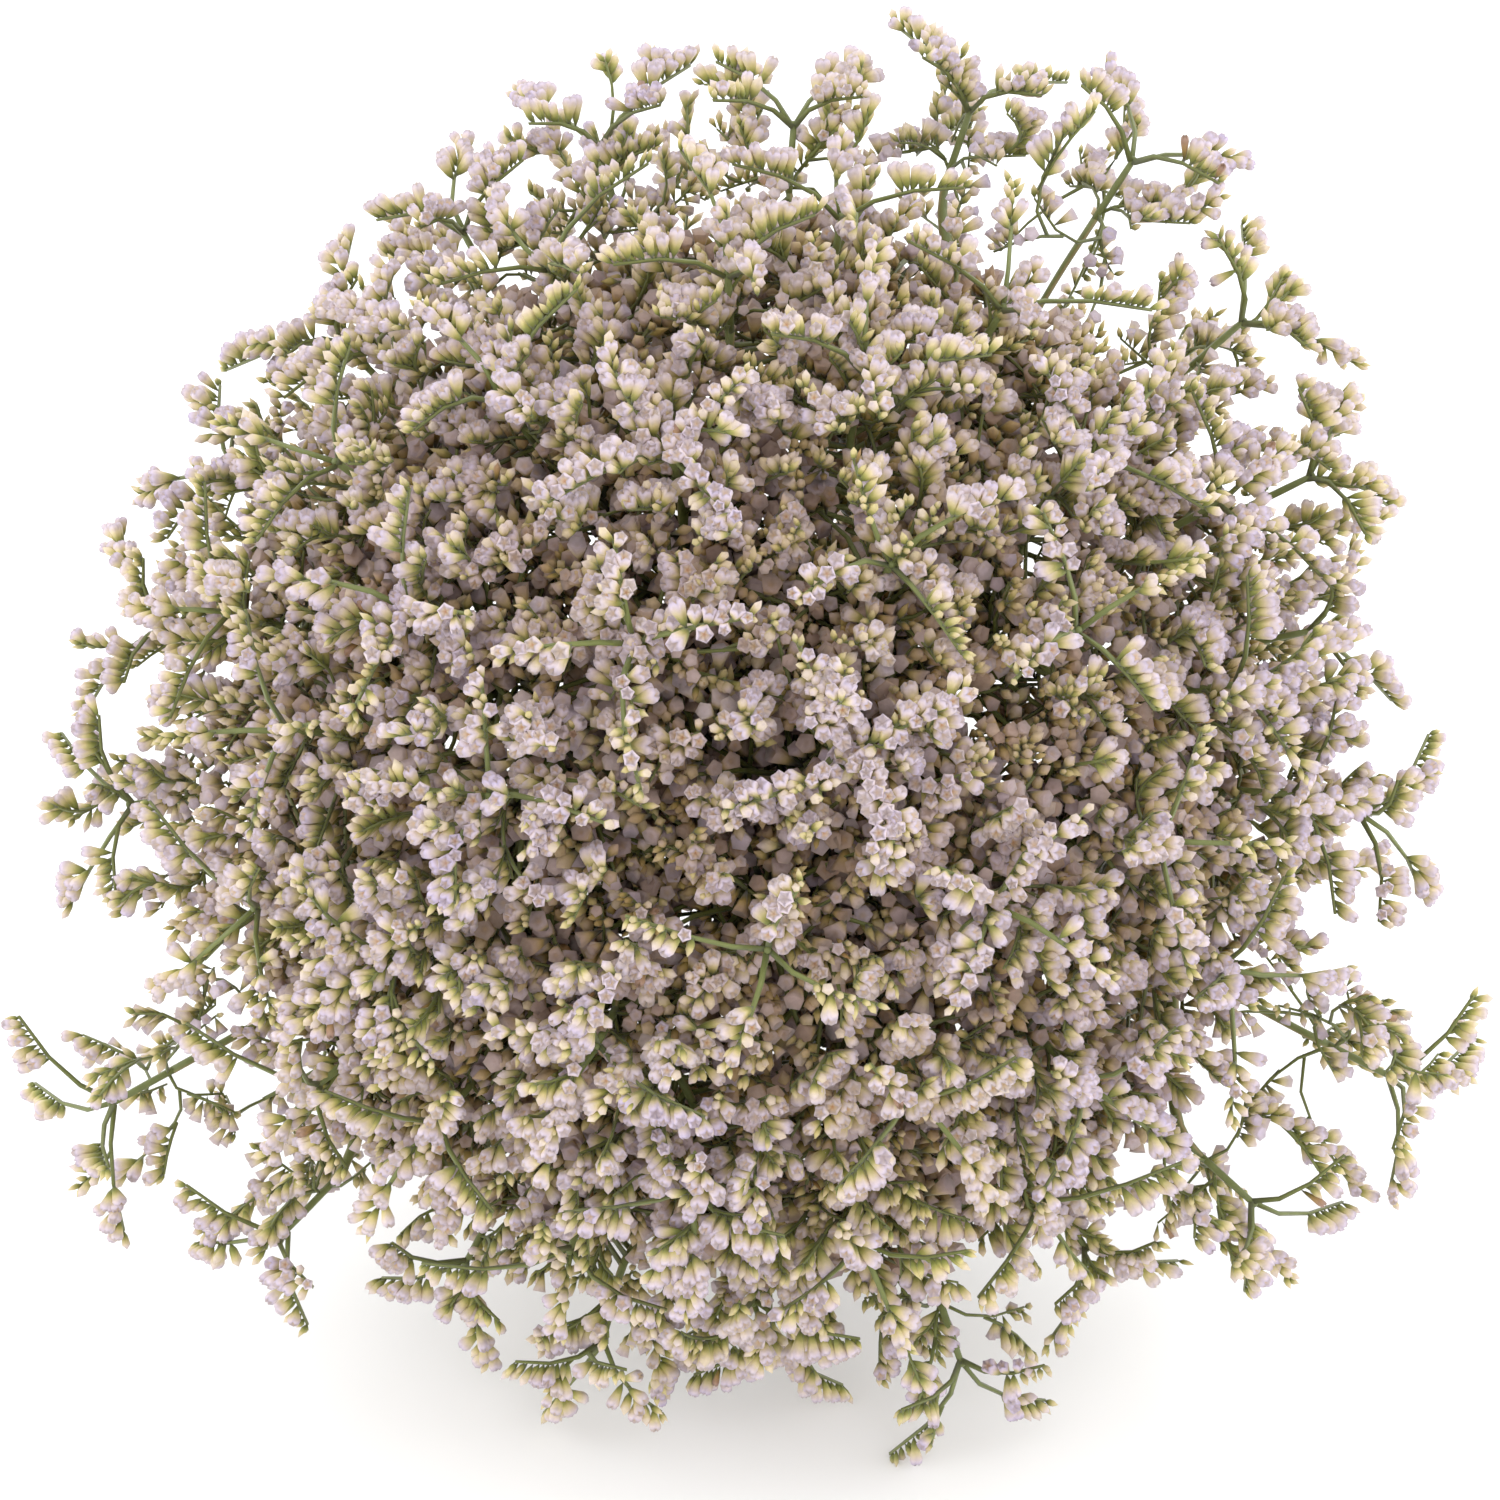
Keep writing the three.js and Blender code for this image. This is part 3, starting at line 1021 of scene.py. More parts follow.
@dataclass
class Stem:
    """The stalk and its branches: each spray is reached from the point that suits it best.

    Lengths are in mm. The stalk runs from its cut end through its bends.
    """

    head: Head
    laying: Laying
    # The radius of a branch with one tip, and the power of its tips with which it grows
    tip_radius: float = 0.95
    thickening: float = 0.34
    # The distance between two points of the growth, the fewest steps of a branch, how much dearer
    # a branch is that turns back, and the cost of each millimetre back to the root
    step: float = 24.0
    least_steps: int = 2
    turn_cost: float = 1.1
    length_cost: float = 0.28
    # How far its fork's heading and its spray's direction bend a branch, as shares of its length,
    # and the gap between the branch's tip and the spray's root
    leave_share: float = 0.22
    arrive_share: float = 0.38
    joint_gap: float = 0.3
    # The stalk, and how far below the rim the branches begin
    bends: tuple[tuple[float, float, float], ...] = (
        (2.5, 1.5, -225.0),
        (-2.0, 0.5, -180.0),
        (1.5, -1.5, -120.0),
        (-1.0, 1.0, -78.0),
        (0.0, 0.0, -45.0),
    )
    stalk_sides: int = 8
    crown_depth: float = 181.0
    # The distance between two rings of the finished lines
    fine_step: float = 4.5

    def radius_of(self, tips: np.ndarray | list[int] | int) -> np.ndarray:
        """Return a branch's radius, which grows with a power of the tips it carries."""
        return self.tip_radius * np.asarray(tips, dtype=float) ** self.thickening

    def stalk(self) -> tuple[np.ndarray, np.ndarray]:
        """Draw the stalk's line from its cut end, whose lowest side lies on the surface.

        Returns:
            A finely sampled line and the stalk's points, about one step apart.
        """
        flat = self.radius_of(len(self.head.roots)) * math.cos(math.pi / self.stalk_sides)
        angle = self.laying.angle
        end = (self.laying.height - flat * math.sin(angle)) / math.cos(angle)
        knots = np.array([(0.0, 0.0, -end), *self.bends])
        shares = np.linspace(0.0, 1.0, CURVE_SAMPLES)
        line = centripetal(knots, shares)
        fine, points = (
            centripetal(knots, even_shares(line, shares, round(curve_length(line) / step)))
            for step in (self.fine_step, self.step)
        )
        return fine, points

    def grow(self) -> tuple[np.ndarray, np.ndarray, list[Branch]]:
        """Grow the branches, the farthest spray's first.

        Returns:
            The stalk's fine line, the tips carried at each of the stalk's points, and the branches.
        """
        fine, stalk = self.stalk()
        count = len(stalk)
        forks = [False] + [bool(place[2] >= -self.crown_depth) for place in stalk[1:]]
        ways = [number * self.step for number in range(count)]
        tree = Tree(list(stalk), list(range(-1, count - 1)), ways, forks, [0] * count)
        reaches = np.linalg.norm(self.head.roots - self.head.centre, axis=1)
        grown = []
        for spray in np.argsort(-reaches, kind="stable"):
            direction = self.head.directions[spray]
            end = self.head.roots[spray] - self.joint_gap * direction
            start = self.best_start(tree, end)
            controls, points, length = self.branch_line(tree, start, end, direction)
            grown.append((controls, start, tree.extend(start, points, length), direction))
        branches = [
            Branch(controls, [tree.tips[i] for i in (own[0], *own)], facing, tree.tips[start])
            for controls, start, own, facing in grown
        ]
        return fine, np.array(tree.tips[:count]), branches

    def branch_line(
        self, tree: Tree, start: int, end: np.ndarray, direction: np.ndarray
    ) -> tuple[np.ndarray, np.ndarray, float]:
        """Draw a branch: a Bezier curve that leaves along its parent and arrives along its spray.

        Args:
            tree: The points grown so far.
            start: The number of the point that it starts from.
            end: Where it ends.
            direction: The unit direction of its spray.

        Returns:
            Its control points, its points in equal steps after the start, and its chord's length.
        """
        place = tree.places[start]
        length = float(np.linalg.norm(end - place))
        leave = place + self.leave_share * length * tree.heading(start)
        arrive = end - self.arrive_share * length * direction
        controls = np.array([place, leave, arrive, end])
        count = max(self.least_steps, round(length / self.step))
        shares = np.linspace(0.0, 1.0, CURVE_SAMPLES)
        line = bezier(controls[None], shares[None])[0]
        points = bezier(controls[None], even_shares(line, shares, count)[None])[0]
        return controls, points[1:], length

    def best_start(self, tree: Tree, end: np.ndarray) -> int:
        """Choose the point that a new branch starts from.

        It is the point with the least cost: its chord to the end, dearer the more it turns away
        from the heading there, plus a share of the way back to the root.

        Args:
            tree: The points grown so far.
            end: Where the new branch ends.

        Returns:
            The number of the point.
        """
        places, parents = np.array(tree.places), np.array(tree.parents)
        headings = unit(places - places[np.maximum(parents, 0)])
        chords = end - places
        lengths = np.linalg.norm(chords, axis=1)
        turns = 1 - (headings * chords).sum(axis=1) / np.maximum(lengths, NEAR_ZERO)
        costs = lengths * (1 + self.turn_cost * turns) + self.length_cost * np.array(tree.ways)
        free = np.array(tree.forks) & (lengths >= self.step)
        return int(np.argmin(np.where(free, costs, np.inf)))


@dataclass
class StemPiece:
    """The green stem: ridged stalk and branches, with a small brown scale under each fork.

    Lengths are in mm and angles in radians. A side is the vector that a first turn is worked
    out from.
    """

    stem: Stem
    # The ridged section, as shares of the radius, and how it turns from branch to branch and
    # from one end of a line to the other
    section: tuple[float, ...] = (1.12, 1.0, 0.8, 0.8, 1.0, 1.12, 1.0, 0.8, 0.8, 1.0)
    ridge_side: tuple[float, float, float] = (0.31, 0.83, 0.42)
    turn_step: float = 0.7
    twist: float = 1.2
    # The tones of green
    stalk_tone: float = 0.15
    branch_tone: float = 0.3
    # How many rings the stalk's upper end takes to run out, and the share of its radius left
    stalk_taper: float = 7.0
    stalk_tip: float = 0.25
    # A branch's slow sway, and the fewest steps that it is drawn in
    sway: float = 0.8
    sway_length: float = 38.0
    sway_side: tuple[float, float, float] = (0.3, 0.7, 0.2)
    least_rings: int = 6
    # A scale's distance from the fork as a share of the parent's radius, how far it leans out,
    # and its size at no radius with what each millimetre of it adds
    scale_inset: float = 0.95
    scale_splay: float = 0.3
    scale_size: tuple[float, float] = (0.65, 0.12)
    scale_tone: float = 0.4

    def build(self, material: bpy.types.Material) -> tuple[bpy.types.Object, list[np.ndarray]]:
        """Build the stalk and the branches.

        Args:
            material: The green of stems.

        Returns:
            The piece, and each branch's fine line.
        """
        bag = MeshBag()
        fine, stalk_tips, branches = self.stem.grow()
        headings = unit(np.gradient(fine, axis=0))
        headings[0] = UP
        left = (len(fine) - np.arange(len(fine))) / self.stalk_taper
        radii = self.radii(stalk_tips, len(fine)) * np.clip(left, self.stalk_tip, 1.0)
        self.add_line(bag, fine, headings, radii, 0.0, self.stalk_tone)
        lines = []
        for number, branch in enumerate(branches):
            line = self.line_of(branch, number)
            headings = unit(np.gradient(line, axis=0))
            headings[-1] = branch.facing
            radii = self.radii(np.array(branch.tips), len(line))
            self.add_line(bag, line, headings, radii, number * self.turn_step, self.branch_tone)
            lines.append(line)
        self.add_scales(bag, branches)
        return bag.build("branching_stem", self.stem.laying, [material]), lines

    def radii(self, tips: np.ndarray, count: int) -> np.ndarray:
        """Return a line's radii at its points, from the tips that it carries at even stations."""
        carried = np.interp(np.linspace(0, 1, count), np.linspace(0, 1, len(tips)), tips)
        return self.stem.radius_of(np.maximum(carried, 1.0))

    def line_of(self, branch: Branch, number: int) -> np.ndarray:
        """Sample a branch's line at fine steps, with a slow sway that dies out at both ends.

        The sway is the sine of half a turn along the branch times the sine of one turn for each
        sway's length.

        Args:
            branch: The branch.
            number: The branch's number, which sets where its sway begins.

        Returns:
            The line's points.
        """
        shares = np.linspace(0.0, 1.0, CURVE_SAMPLES)
        line = bezier(branch.controls[None], shares[None])[0]
        length = curve_length(line)
        count = max(self.least_rings, round(length / self.stem.fine_step))
        points = bezier(branch.controls[None], even_shares(line, shares, count)[None])[0]
        share = np.linspace(0.0, 1.0, count + 1)[:, None]
        wave = np.sin(FULL_TURN * share * length / self.sway_length + number)
        sideways = square_to(np.array(self.sway_side), branch.facing)
        return points + self.sway * (np.sin(math.pi * share) * wave) * sideways

    def add_line(
        self,
        bag: MeshBag,
        line: np.ndarray,
        headings: np.ndarray,
        radii: np.ndarray,
        turn: float,
        tone: float,
    ) -> None:
        """Carry the ridged section along a line.

        Args:
            bag: Where it goes.
            line: The line's points.
            headings: The unit headings there.
            radii: The radii there.
            turn: The section's first turn, radians.
            tone: The green's tone.
        """
        count = len(line)
        axis = unit(line[-1] - line[0])
        side = square_to(np.array(self.ridge_side), axis)
        angles = turn + np.linspace(0.0, self.twist, count)
        sides, axes = (np.broadcast_to(vector, line.shape) for vector in (side, axis))
        references = turned(sides, axes, angles)
        section = np.array(self.section)
        vertices = tubes(line[None], headings[None], references[None], radii[None], section)
        edge = (section - section.min()) / np.ptp(section)
        along = np.concatenate([[0.0], np.tile(edge, count), [0.0]])
        faces = closed_grid(count, len(section))
        bag.add(Batch(vertices, faces, along, np.array([tone]), np.zeros(1)))

    def add_scales(self, bag: MeshBag, branches: list[Branch]) -> None:
        """Add a brown scale under each fork, on the side that the branch leaves from.

        A scale's foot stands at a share of the parent's radius from the fork, and its axis is a
        mix of the parent's heading and the way out.

        Args:
            bag: Where the scales go.
            branches: The branches.
        """
        controls = np.array([branch.controls for branch in branches])
        forks = controls[:, 0]
        headings = unit(controls[:, 1] - forks)
        outward = square_to(controls[:, 3] - forks, headings)
        radii = self.stem.radius_of([branch.carried for branch in branches])
        feet = forks + self.scale_inset * radii[:, None] * outward
        axes = unit(headings + self.scale_splay * outward)
        sizes = self.scale_size[0] + self.scale_size[1] * radii
        vertices = BROWN_SCALE.stamp(feet, axes, np.cross(axes, outward), sizes, sizes)
        tones, ages = np.full(len(branches), self.scale_tone), np.zeros(len(branches))
        bag.add(Batch(vertices, BROWN_SCALE.faces(), BROWN_SCALE.along(), tones, ages))


@dataclass(frozen=True)
class Layer:
    """A layer of crests' ends across a spray.

    Attributes:
        spacing: How far apart the ends are, mm.
        low: The lowest height of an end over the spray's root, mm.
        high: The greatest height, mm.
        fall: How much an end sinks for each square millimetre of reach, mm.
    """

    spacing: float
    low: float
    high: float
    fall: float = 0.0


@dataclass
class SprayPiece:
    """A spray: a stub, four arching spikes, and short crests of florets along them.

    Lengths are in mm. A draw is a pair, its lowest and highest value, and a spread is the
    deviation of a normal draw. What holds for the sprays of the rim alone has rim in its name.
    A side is the vector that a first turn is worked out from.
    """

    head: Head
    index: int
    # The stub: the height and the share of its radius of each ring, the last one past the fork
    stub: float = 15.0
    stub_radius: float = 0.95
    stub_rings: tuple[tuple[float, float], ...] = ((-0.3, 1.0), (3.0, 0.95), (9.0, 0.95))
    stub_top: tuple[float, float] = (1.5, 0.8)
    stub_sides: int = 7
    stub_side: tuple[float, float, float] = (0.3, 0.8, 0.1)
    stub_tone: float = 0.4
    # The spikes, which lean out between the longest and the shortest, as their cell has room
    spikes: int = 4
    spike_side: tuple[float, float, float] = (0.1, 1.0, 0.2)
    spike_height: float = 26.0
    longest: float = 31.0
    shortest: float = 7.0
    spare_room: float = 4.0
    turns_tried: int = 6
    fork_rise: float = 0.33
    fork_spread: float = 0.45
    bow_spread: float = 3.0
    middle_height: float = 0.92
    middle_reach: float = 0.3
    # Where crests end: how wide the layers are, how far the ends are pulled to their bunches and
    # sink for each square millimetre from them, and how far inside the cell they have to be,
    # below zero where they may be outside
    widest: float = 34.0
    layer_side: tuple[float, float, float] = (0.4, 0.2, 0.9)
    layers: tuple[Layer, ...] = (
        Layer(4.4, 20.0, 31.5, fall=0.008),
        Layer(5.3, 6.0, 19.0),
        Layer(6.4, -12.0, 5.0),
    )
    spiral_spread: float = 0.16
    bunch_spacing: float = 10.5
    bunch_fall: float = 0.05
    inner_pull: float = 0.3
    rim_pull: float = 0.5
    cell_margin: float = -1.0
    # How much higher, closer or looser a whole spray's crests stand, by chance and by the
    # distance of its top from the head's axis
    inner_lift_draw: tuple[float, float] = (-7.0, 2.5)
    rim_lift_draw: tuple[float, float] = (-5.0, 2.0)
    rim_rise: float = 5.0
    looseness_draw: tuple[float, float] = (0.92, 1.12)
    reaches: tuple[float, ...] = (95.0, 145.0, 152.0, 192.0)
    looseness: tuple[float, ...] = (1.0, 1.3, 1.5, 2.1)
    # Where crests may start: the first height and the step on the stub, the first and last share
    # of a spike, and the shares of another crest
    stub_stations: tuple[float, float] = (1.0, 1.5)
    spike_stations: tuple[float, float] = (0.06, 0.86)
    spike_steps: int = 15
    crest_stations: tuple[float, ...] = (0.25, 0.4, 0.55)
    # What a crest's way costs: more where it doesn't head outwards, and more far from the root
    shortest_crest: float = 9.0
    aim_outward: float = 1.6
    turn_cost: float = 1.3
    way_cost: float = 0.25
    leave_bend: float = 1.1
    # What the spikes and the crests carry: bearing lengths, radii, openness, tones and rolls
    spike_bearing: float = 12.0
    crest_bearing_draw: tuple[float, float] = (5.0, 10.0)
    spike_radius: float = 0.82
    crest_radius: float = 0.6
    openness_draw: tuple[float, float] = (0.36, 0.8)
    openness_spread: float = 0.26
    openness_limits: tuple[float, float] = (0.1, 1.0)
    tone_draw: tuple[float, float] = (0.35, 0.75)
    tone_spread: float = 0.12
    tone_limits: tuple[float, float] = (0.05, 0.9)
    roll_spread: float = 0.75
    # Crests that end higher than this have the fine forms of florets
    fine_from: float = 9.0
    # Painted shade darkens the crests that end below a height, the lower the more, and weakens
    # between two distances of the root from the head's axis
    painted_shade_height: float = 25.0
    painted_shade_reach: tuple[float, float] = (70.0, 140.0)
    painted_shade_strength: tuple[float, float] = (1.0, 0.15)
    # The point that florets fan out from: its depth below the root, and how far it lies in
    # towards the head's axis, as a share of the root's distance
    fan_depth: float = 60.0
    splay: float = 0.45

    @property
    def root(self) -> np.ndarray:
        """Return the point that the spray grows from."""
        return self.head.roots[self.index]

    @property
    def direction(self) -> np.ndarray:
        """Return the unit direction that the spray grows in."""
        return self.head.directions[self.index]

    def reach(self, outward: np.ndarray) -> float:
        """Find how far a spike can lean out.

        Args:
            outward: The unit direction that it leans in.

        Returns:
            The longest whole step down from the longest whose end is inside the cell.
        """
        tries = np.arange(self.longest, self.shortest, -1.0)
        tip = self.root + self.spike_height * self.direction
        ends = tip + (tries + self.spare_room)[:, None] * outward
        inside = self.head.inside_cell(self.index, ends) > 0
        return float(tries[np.argmax(inside)]) if inside.any() else self.shortest

    def outwards(self) -> np.ndarray:
        """Turn the spikes, evenly apart, so that they have the most room.

        Returns:
            The unit directions that they lean in.
        """
        shape = (self.spikes, 3)
        direction = np.broadcast_to(self.direction, shape)
        side = square_to(np.array(self.spike_side), self.direction)
        reference = np.broadcast_to(side, shape)
        quarter, spikes = FULL_TURN / self.spikes, np.arange(self.spikes)
        choices = [
            turned(reference, direction, quarter * (turn / self.turns_tried + spikes))
            for turn in range(self.turns_tried)
        ]
        return max(choices, key=lambda ways: sum(self.reach(way) for way in ways))

    def spike_controls(self, random: np.random.Generator) -> np.ndarray:
        """Draw the spikes' control points, each spike bowed a little to one side.

        Args:
            random: The draws.

        Returns:
            Control points of shape (spikes, 3, 3).
        """
        ways = self.outwards()
        reaches = np.array([self.reach(way) for way in ways])[:, None]
        fork = self.root + (self.stub + self.fork_rise) * self.direction
        bow = random.normal(0.0, self.bow_spread, reaches.shape) * np.cross(self.direction, ways)
        bend = self.root + self.middle_height * self.spike_height * self.direction
        middle = bend + self.middle_reach * reaches * ways + bow
        end = self.root + self.spike_height * self.direction + reaches * ways
        return np.stack([fork + self.fork_spread * ways, middle, end], axis=1)

    def tips(self, random: np.random.Generator) -> tuple[np.ndarray, np.ndarray]:
        """Choose where the crests end.

        Layers of points spiral out by the golden angle, each point in an equal share of the
        layer's area. The top layer is a shallow dome, the lower ones are level, and heights are
        uneven within each. Bunches spiral out in the same way, wider apart: each point is pulled
        a share of the way to the nearest bunch, and sinks with its square distance from it.
        Points outside the spray's cell are left out.

        Args:
            random: The draws.

        Returns:
            The points, and their heights over the root.
        """
        first = square_to(np.array(self.layer_side), self.direction)
        second = np.cross(self.direction, first)
        tips, heights = [], []
        on_rim = self.index >= self.head.inner_sprays
        out = np.linalg.norm(self.root[:2] + self.head.spray_depth * self.direction[:2])
        looseness = float(np.interp(out, self.reaches, self.looseness))
        loose = random.uniform(*self.looseness_draw) * looseness
        lift = random.uniform(*(self.rim_lift_draw if on_rim else self.inner_lift_draw))
        pull = self.rim_pull if on_rim else self.inner_pull
        bunches = self.spiral(self.bunch_spacing * loose, random)
        for layer in self.layers:
            flat = self.spiral(layer.spacing * loose, random)
            away = bunches[:, None] - flat
            nearest = np.argmin(np.linalg.norm(away, axis=2), axis=0)
            towards = away[nearest, np.arange(len(flat))]
            flat = flat + pull * towards
            sink = layer.fall * (flat**2).sum(axis=1)
            sink = sink + self.bunch_fall * (towards**2).sum(axis=1)
            high = layer.high + self.rim_rise if on_rim else layer.high
            height = random.uniform(layer.low, high, len(flat)) - sink + lift
            tip = self.root + height[:, None] * self.direction
            tips.append(tip + flat[:, :1] * first + flat[:, 1:] * second)
            heights.append(height)
        points, height = np.concatenate(tips), np.concatenate(heights)
        inside = self.head.inside_cell(self.index, points) > self.cell_margin
        return points[inside], height[inside]

    def spiral(self, spacing: float, random: np.random.Generator) -> np.ndarray:
        """Spread points a golden angle apart, whose reach grows with the root of their number.

        Args:
            spacing: How far apart they are, mm.
            random: The draws.

        Returns:
            Flat points of shape (points, 2).
        """
        index = np.arange(int((self.widest / spacing) ** 2) + 1)
        stray = random.normal(0.0, self.spiral_spread * spacing, len(index))
        reach = spacing * np.sqrt(index + 0.5) + stray
        angle = GOLDEN_ANGLE * index + random.uniform(0, TURN_DRAW)
        return np.stack([reach * np.cos(angle), reach * np.sin(angle)], axis=1)

    def carriers(self, spikes: np.ndarray) -> tuple[np.ndarray, np.ndarray, np.ndarray]:
        """Sample the stub and the spikes where crests may leave them.

        Args:
            spikes: The spikes' control points.

        Returns:
            Points, the headings there and the ways from the root.
        """
        first, step = self.stub_stations
        heights = np.arange(first, self.stub, step)
        stub = self.root + heights[:, None] * self.direction
        steps = np.linspace(*self.spike_stations, self.spike_steps)
        shares = np.broadcast_to(steps, (len(spikes), len(steps)))
        chords = np.linalg.norm(np.diff(spikes, axis=1), axis=2).sum(axis=1)
        ways = self.stub + shares * chords[:, None]
        headings = bezier_heading(spikes, shares).reshape(-1, 3)
        return (
            np.concatenate([stub, bezier(spikes, shares).reshape(-1, 3)]),
            np.concatenate([np.broadcast_to(self.direction, stub.shape), headings]),
            np.concatenate([heights, ways.ravel()]),
        )

    def crest_controls(self, spikes: np.ndarray, tips: np.ndarray) -> np.ndarray:
        """Draw a crest to each tip, the nearest tip's first.

        A crest leaves the stub, a spike or an earlier crest at the point with the least cost: its
        distance, dearer where the crest would not head outwards, and a share of that point's way
        from the root.

        Args:
            spikes: The spikes' control points.
            tips: Where the crests end.

        Returns:
            Control points of shape (crests, 3, 3).
        """
        places, headings, ways = self.carriers(spikes)
        stations = np.array(self.crest_stations)
        drawn = np.empty((len(tips), 3, 3))
        for crest in np.argsort(np.linalg.norm(tips - places[0], axis=1), kind="stable"):
            chords = tips[crest] - places
            lengths = np.linalg.norm(chords, axis=1)
            aims = unit(headings + self.aim_outward * self.direction)
            turns = 1 - (chords * aims).sum(axis=1) / np.maximum(lengths, NEAR_ZERO)
            costs = lengths * (1 + self.turn_cost * turns) + self.way_cost * ways
            best = int(np.argmin(np.where(lengths > self.shortest_crest, costs, np.inf)))
            leave = unit(headings[best] + self.leave_bend * unit(chords[best]))
            middle = places[best] + 0.5 * lengths[best] * leave
            drawn[crest] = places[best], middle, tips[crest]
            own = drawn[crest][None]
            places = np.concatenate([places, bezier(own, stations[None])[0]])
            headings = np.concatenate([headings, bezier_heading(own, stations[None])[0]])
            ways = np.concatenate([ways, ways[best] + stations * lengths[best]])
        return drawn

    def build(
        self, laying: Laying, materials: list[bpy.types.Material], random: np.random.Generator
    ) -> bpy.types.Object:
        """Build the spray as one piece.

        Args:
            laying: How the plant is laid down.
            materials: The paper of the florets and the green of the twigs.
            random: The draws.

        Returns:
            The piece.
        """
        bag = MeshBag()
        spikes = self.spike_controls(random)
        tips, heights = self.tips(random)
        crests = self.crest_controls(spikes, tips)
        controls = np.concatenate([spikes, crests])
        crest_bearing = random.uniform(*self.crest_bearing_draw, len(crests))
        bearing = np.concatenate([np.full(len(spikes), self.spike_bearing), crest_bearing])
        depth = np.concatenate([np.full(len(spikes), self.spike_height), heights])
        radii = np.repeat([self.spike_radius, self.crest_radius], [len(spikes), len(crests)])
        openness, tone = (random.uniform(*draw) for draw in (self.openness_draw, self.tone_draw))
        # Painted shade: crests near the head's axis take the most, standing in for the shade in the
        # middle of the head
        shade = float(np.interp(np.linalg.norm(self.root[:2]), self.painted_shade_reach, self.painted_shade_strength))
        inward = self.splay * self.root * (1.0, 1.0, 0.0)
        florets = 0
        fine = depth >= self.fine_from
        for chosen, forms in ((fine, FINE_FORMS), (~fine, PLAIN_FORMS)):
            count = int(chosen.sum())
            rolls = random.normal(0.0, self.roll_spread, count)
            opened = openness + random.normal(0, self.openness_spread, count)
            tones = tone + random.normal(0, self.tone_spread, count)
            low = (self.painted_shade_height - depth[chosen]) / self.painted_shade_height
            batch = Crests(
                controls=controls[chosen],
                bearing=bearing[chosen],
                radii=radii[chosen],
                rolls=rolls,
                openness=np.clip(opened, *self.openness_limits),
                tones=np.clip(tones, *self.tone_limits),
                ages=shade * np.clip(low, 0.0, 1.0),
                fan=self.root - self.fan_depth * self.direction - inward,
                forms=forms,
            )
            batch.add_twigs(bag)
            florets += batch.add_florets(bag, random)
        self.add_stub(bag)
        item = bag.build(f"flower_spray_{self.index + 1:02d}", laying, materials)
        faces = len(item.data.polygons)
        log.info("%s: %d crests, %d florets, %d faces", item.name, len(controls), florets, faces)
        return item

    def add_stub(self, bag: MeshBag) -> None:
        """Add the stub from the branch's tip to the fork, a little thinner at the top.

        Args:
            bag: Where it goes.
        """
        past, thinned = self.stub_top
        heights, shares = np.array([*self.stub_rings, (self.stub + past, thinned)]).T
        line = self.root + heights[:, None] * self.direction
        headings = np.broadcast_to(self.direction, line.shape)
        side = square_to(np.array(self.stub_side), self.direction)
        references = np.broadcast_to(side, line.shape)
        radii, section = shares * self.stub_radius, np.ones(self.stub_sides)
        stub = tubes(line[None], headings[None], references[None], radii[None], section)
        faces = closed_grid(len(heights), self.stub_sides)
        tone, nothing = np.array([self.stub_tone]), np.zeros(1)
        bag.add(Batch(stub, faces, nothing, tone, nothing, PieceSlot.GREEN.value))


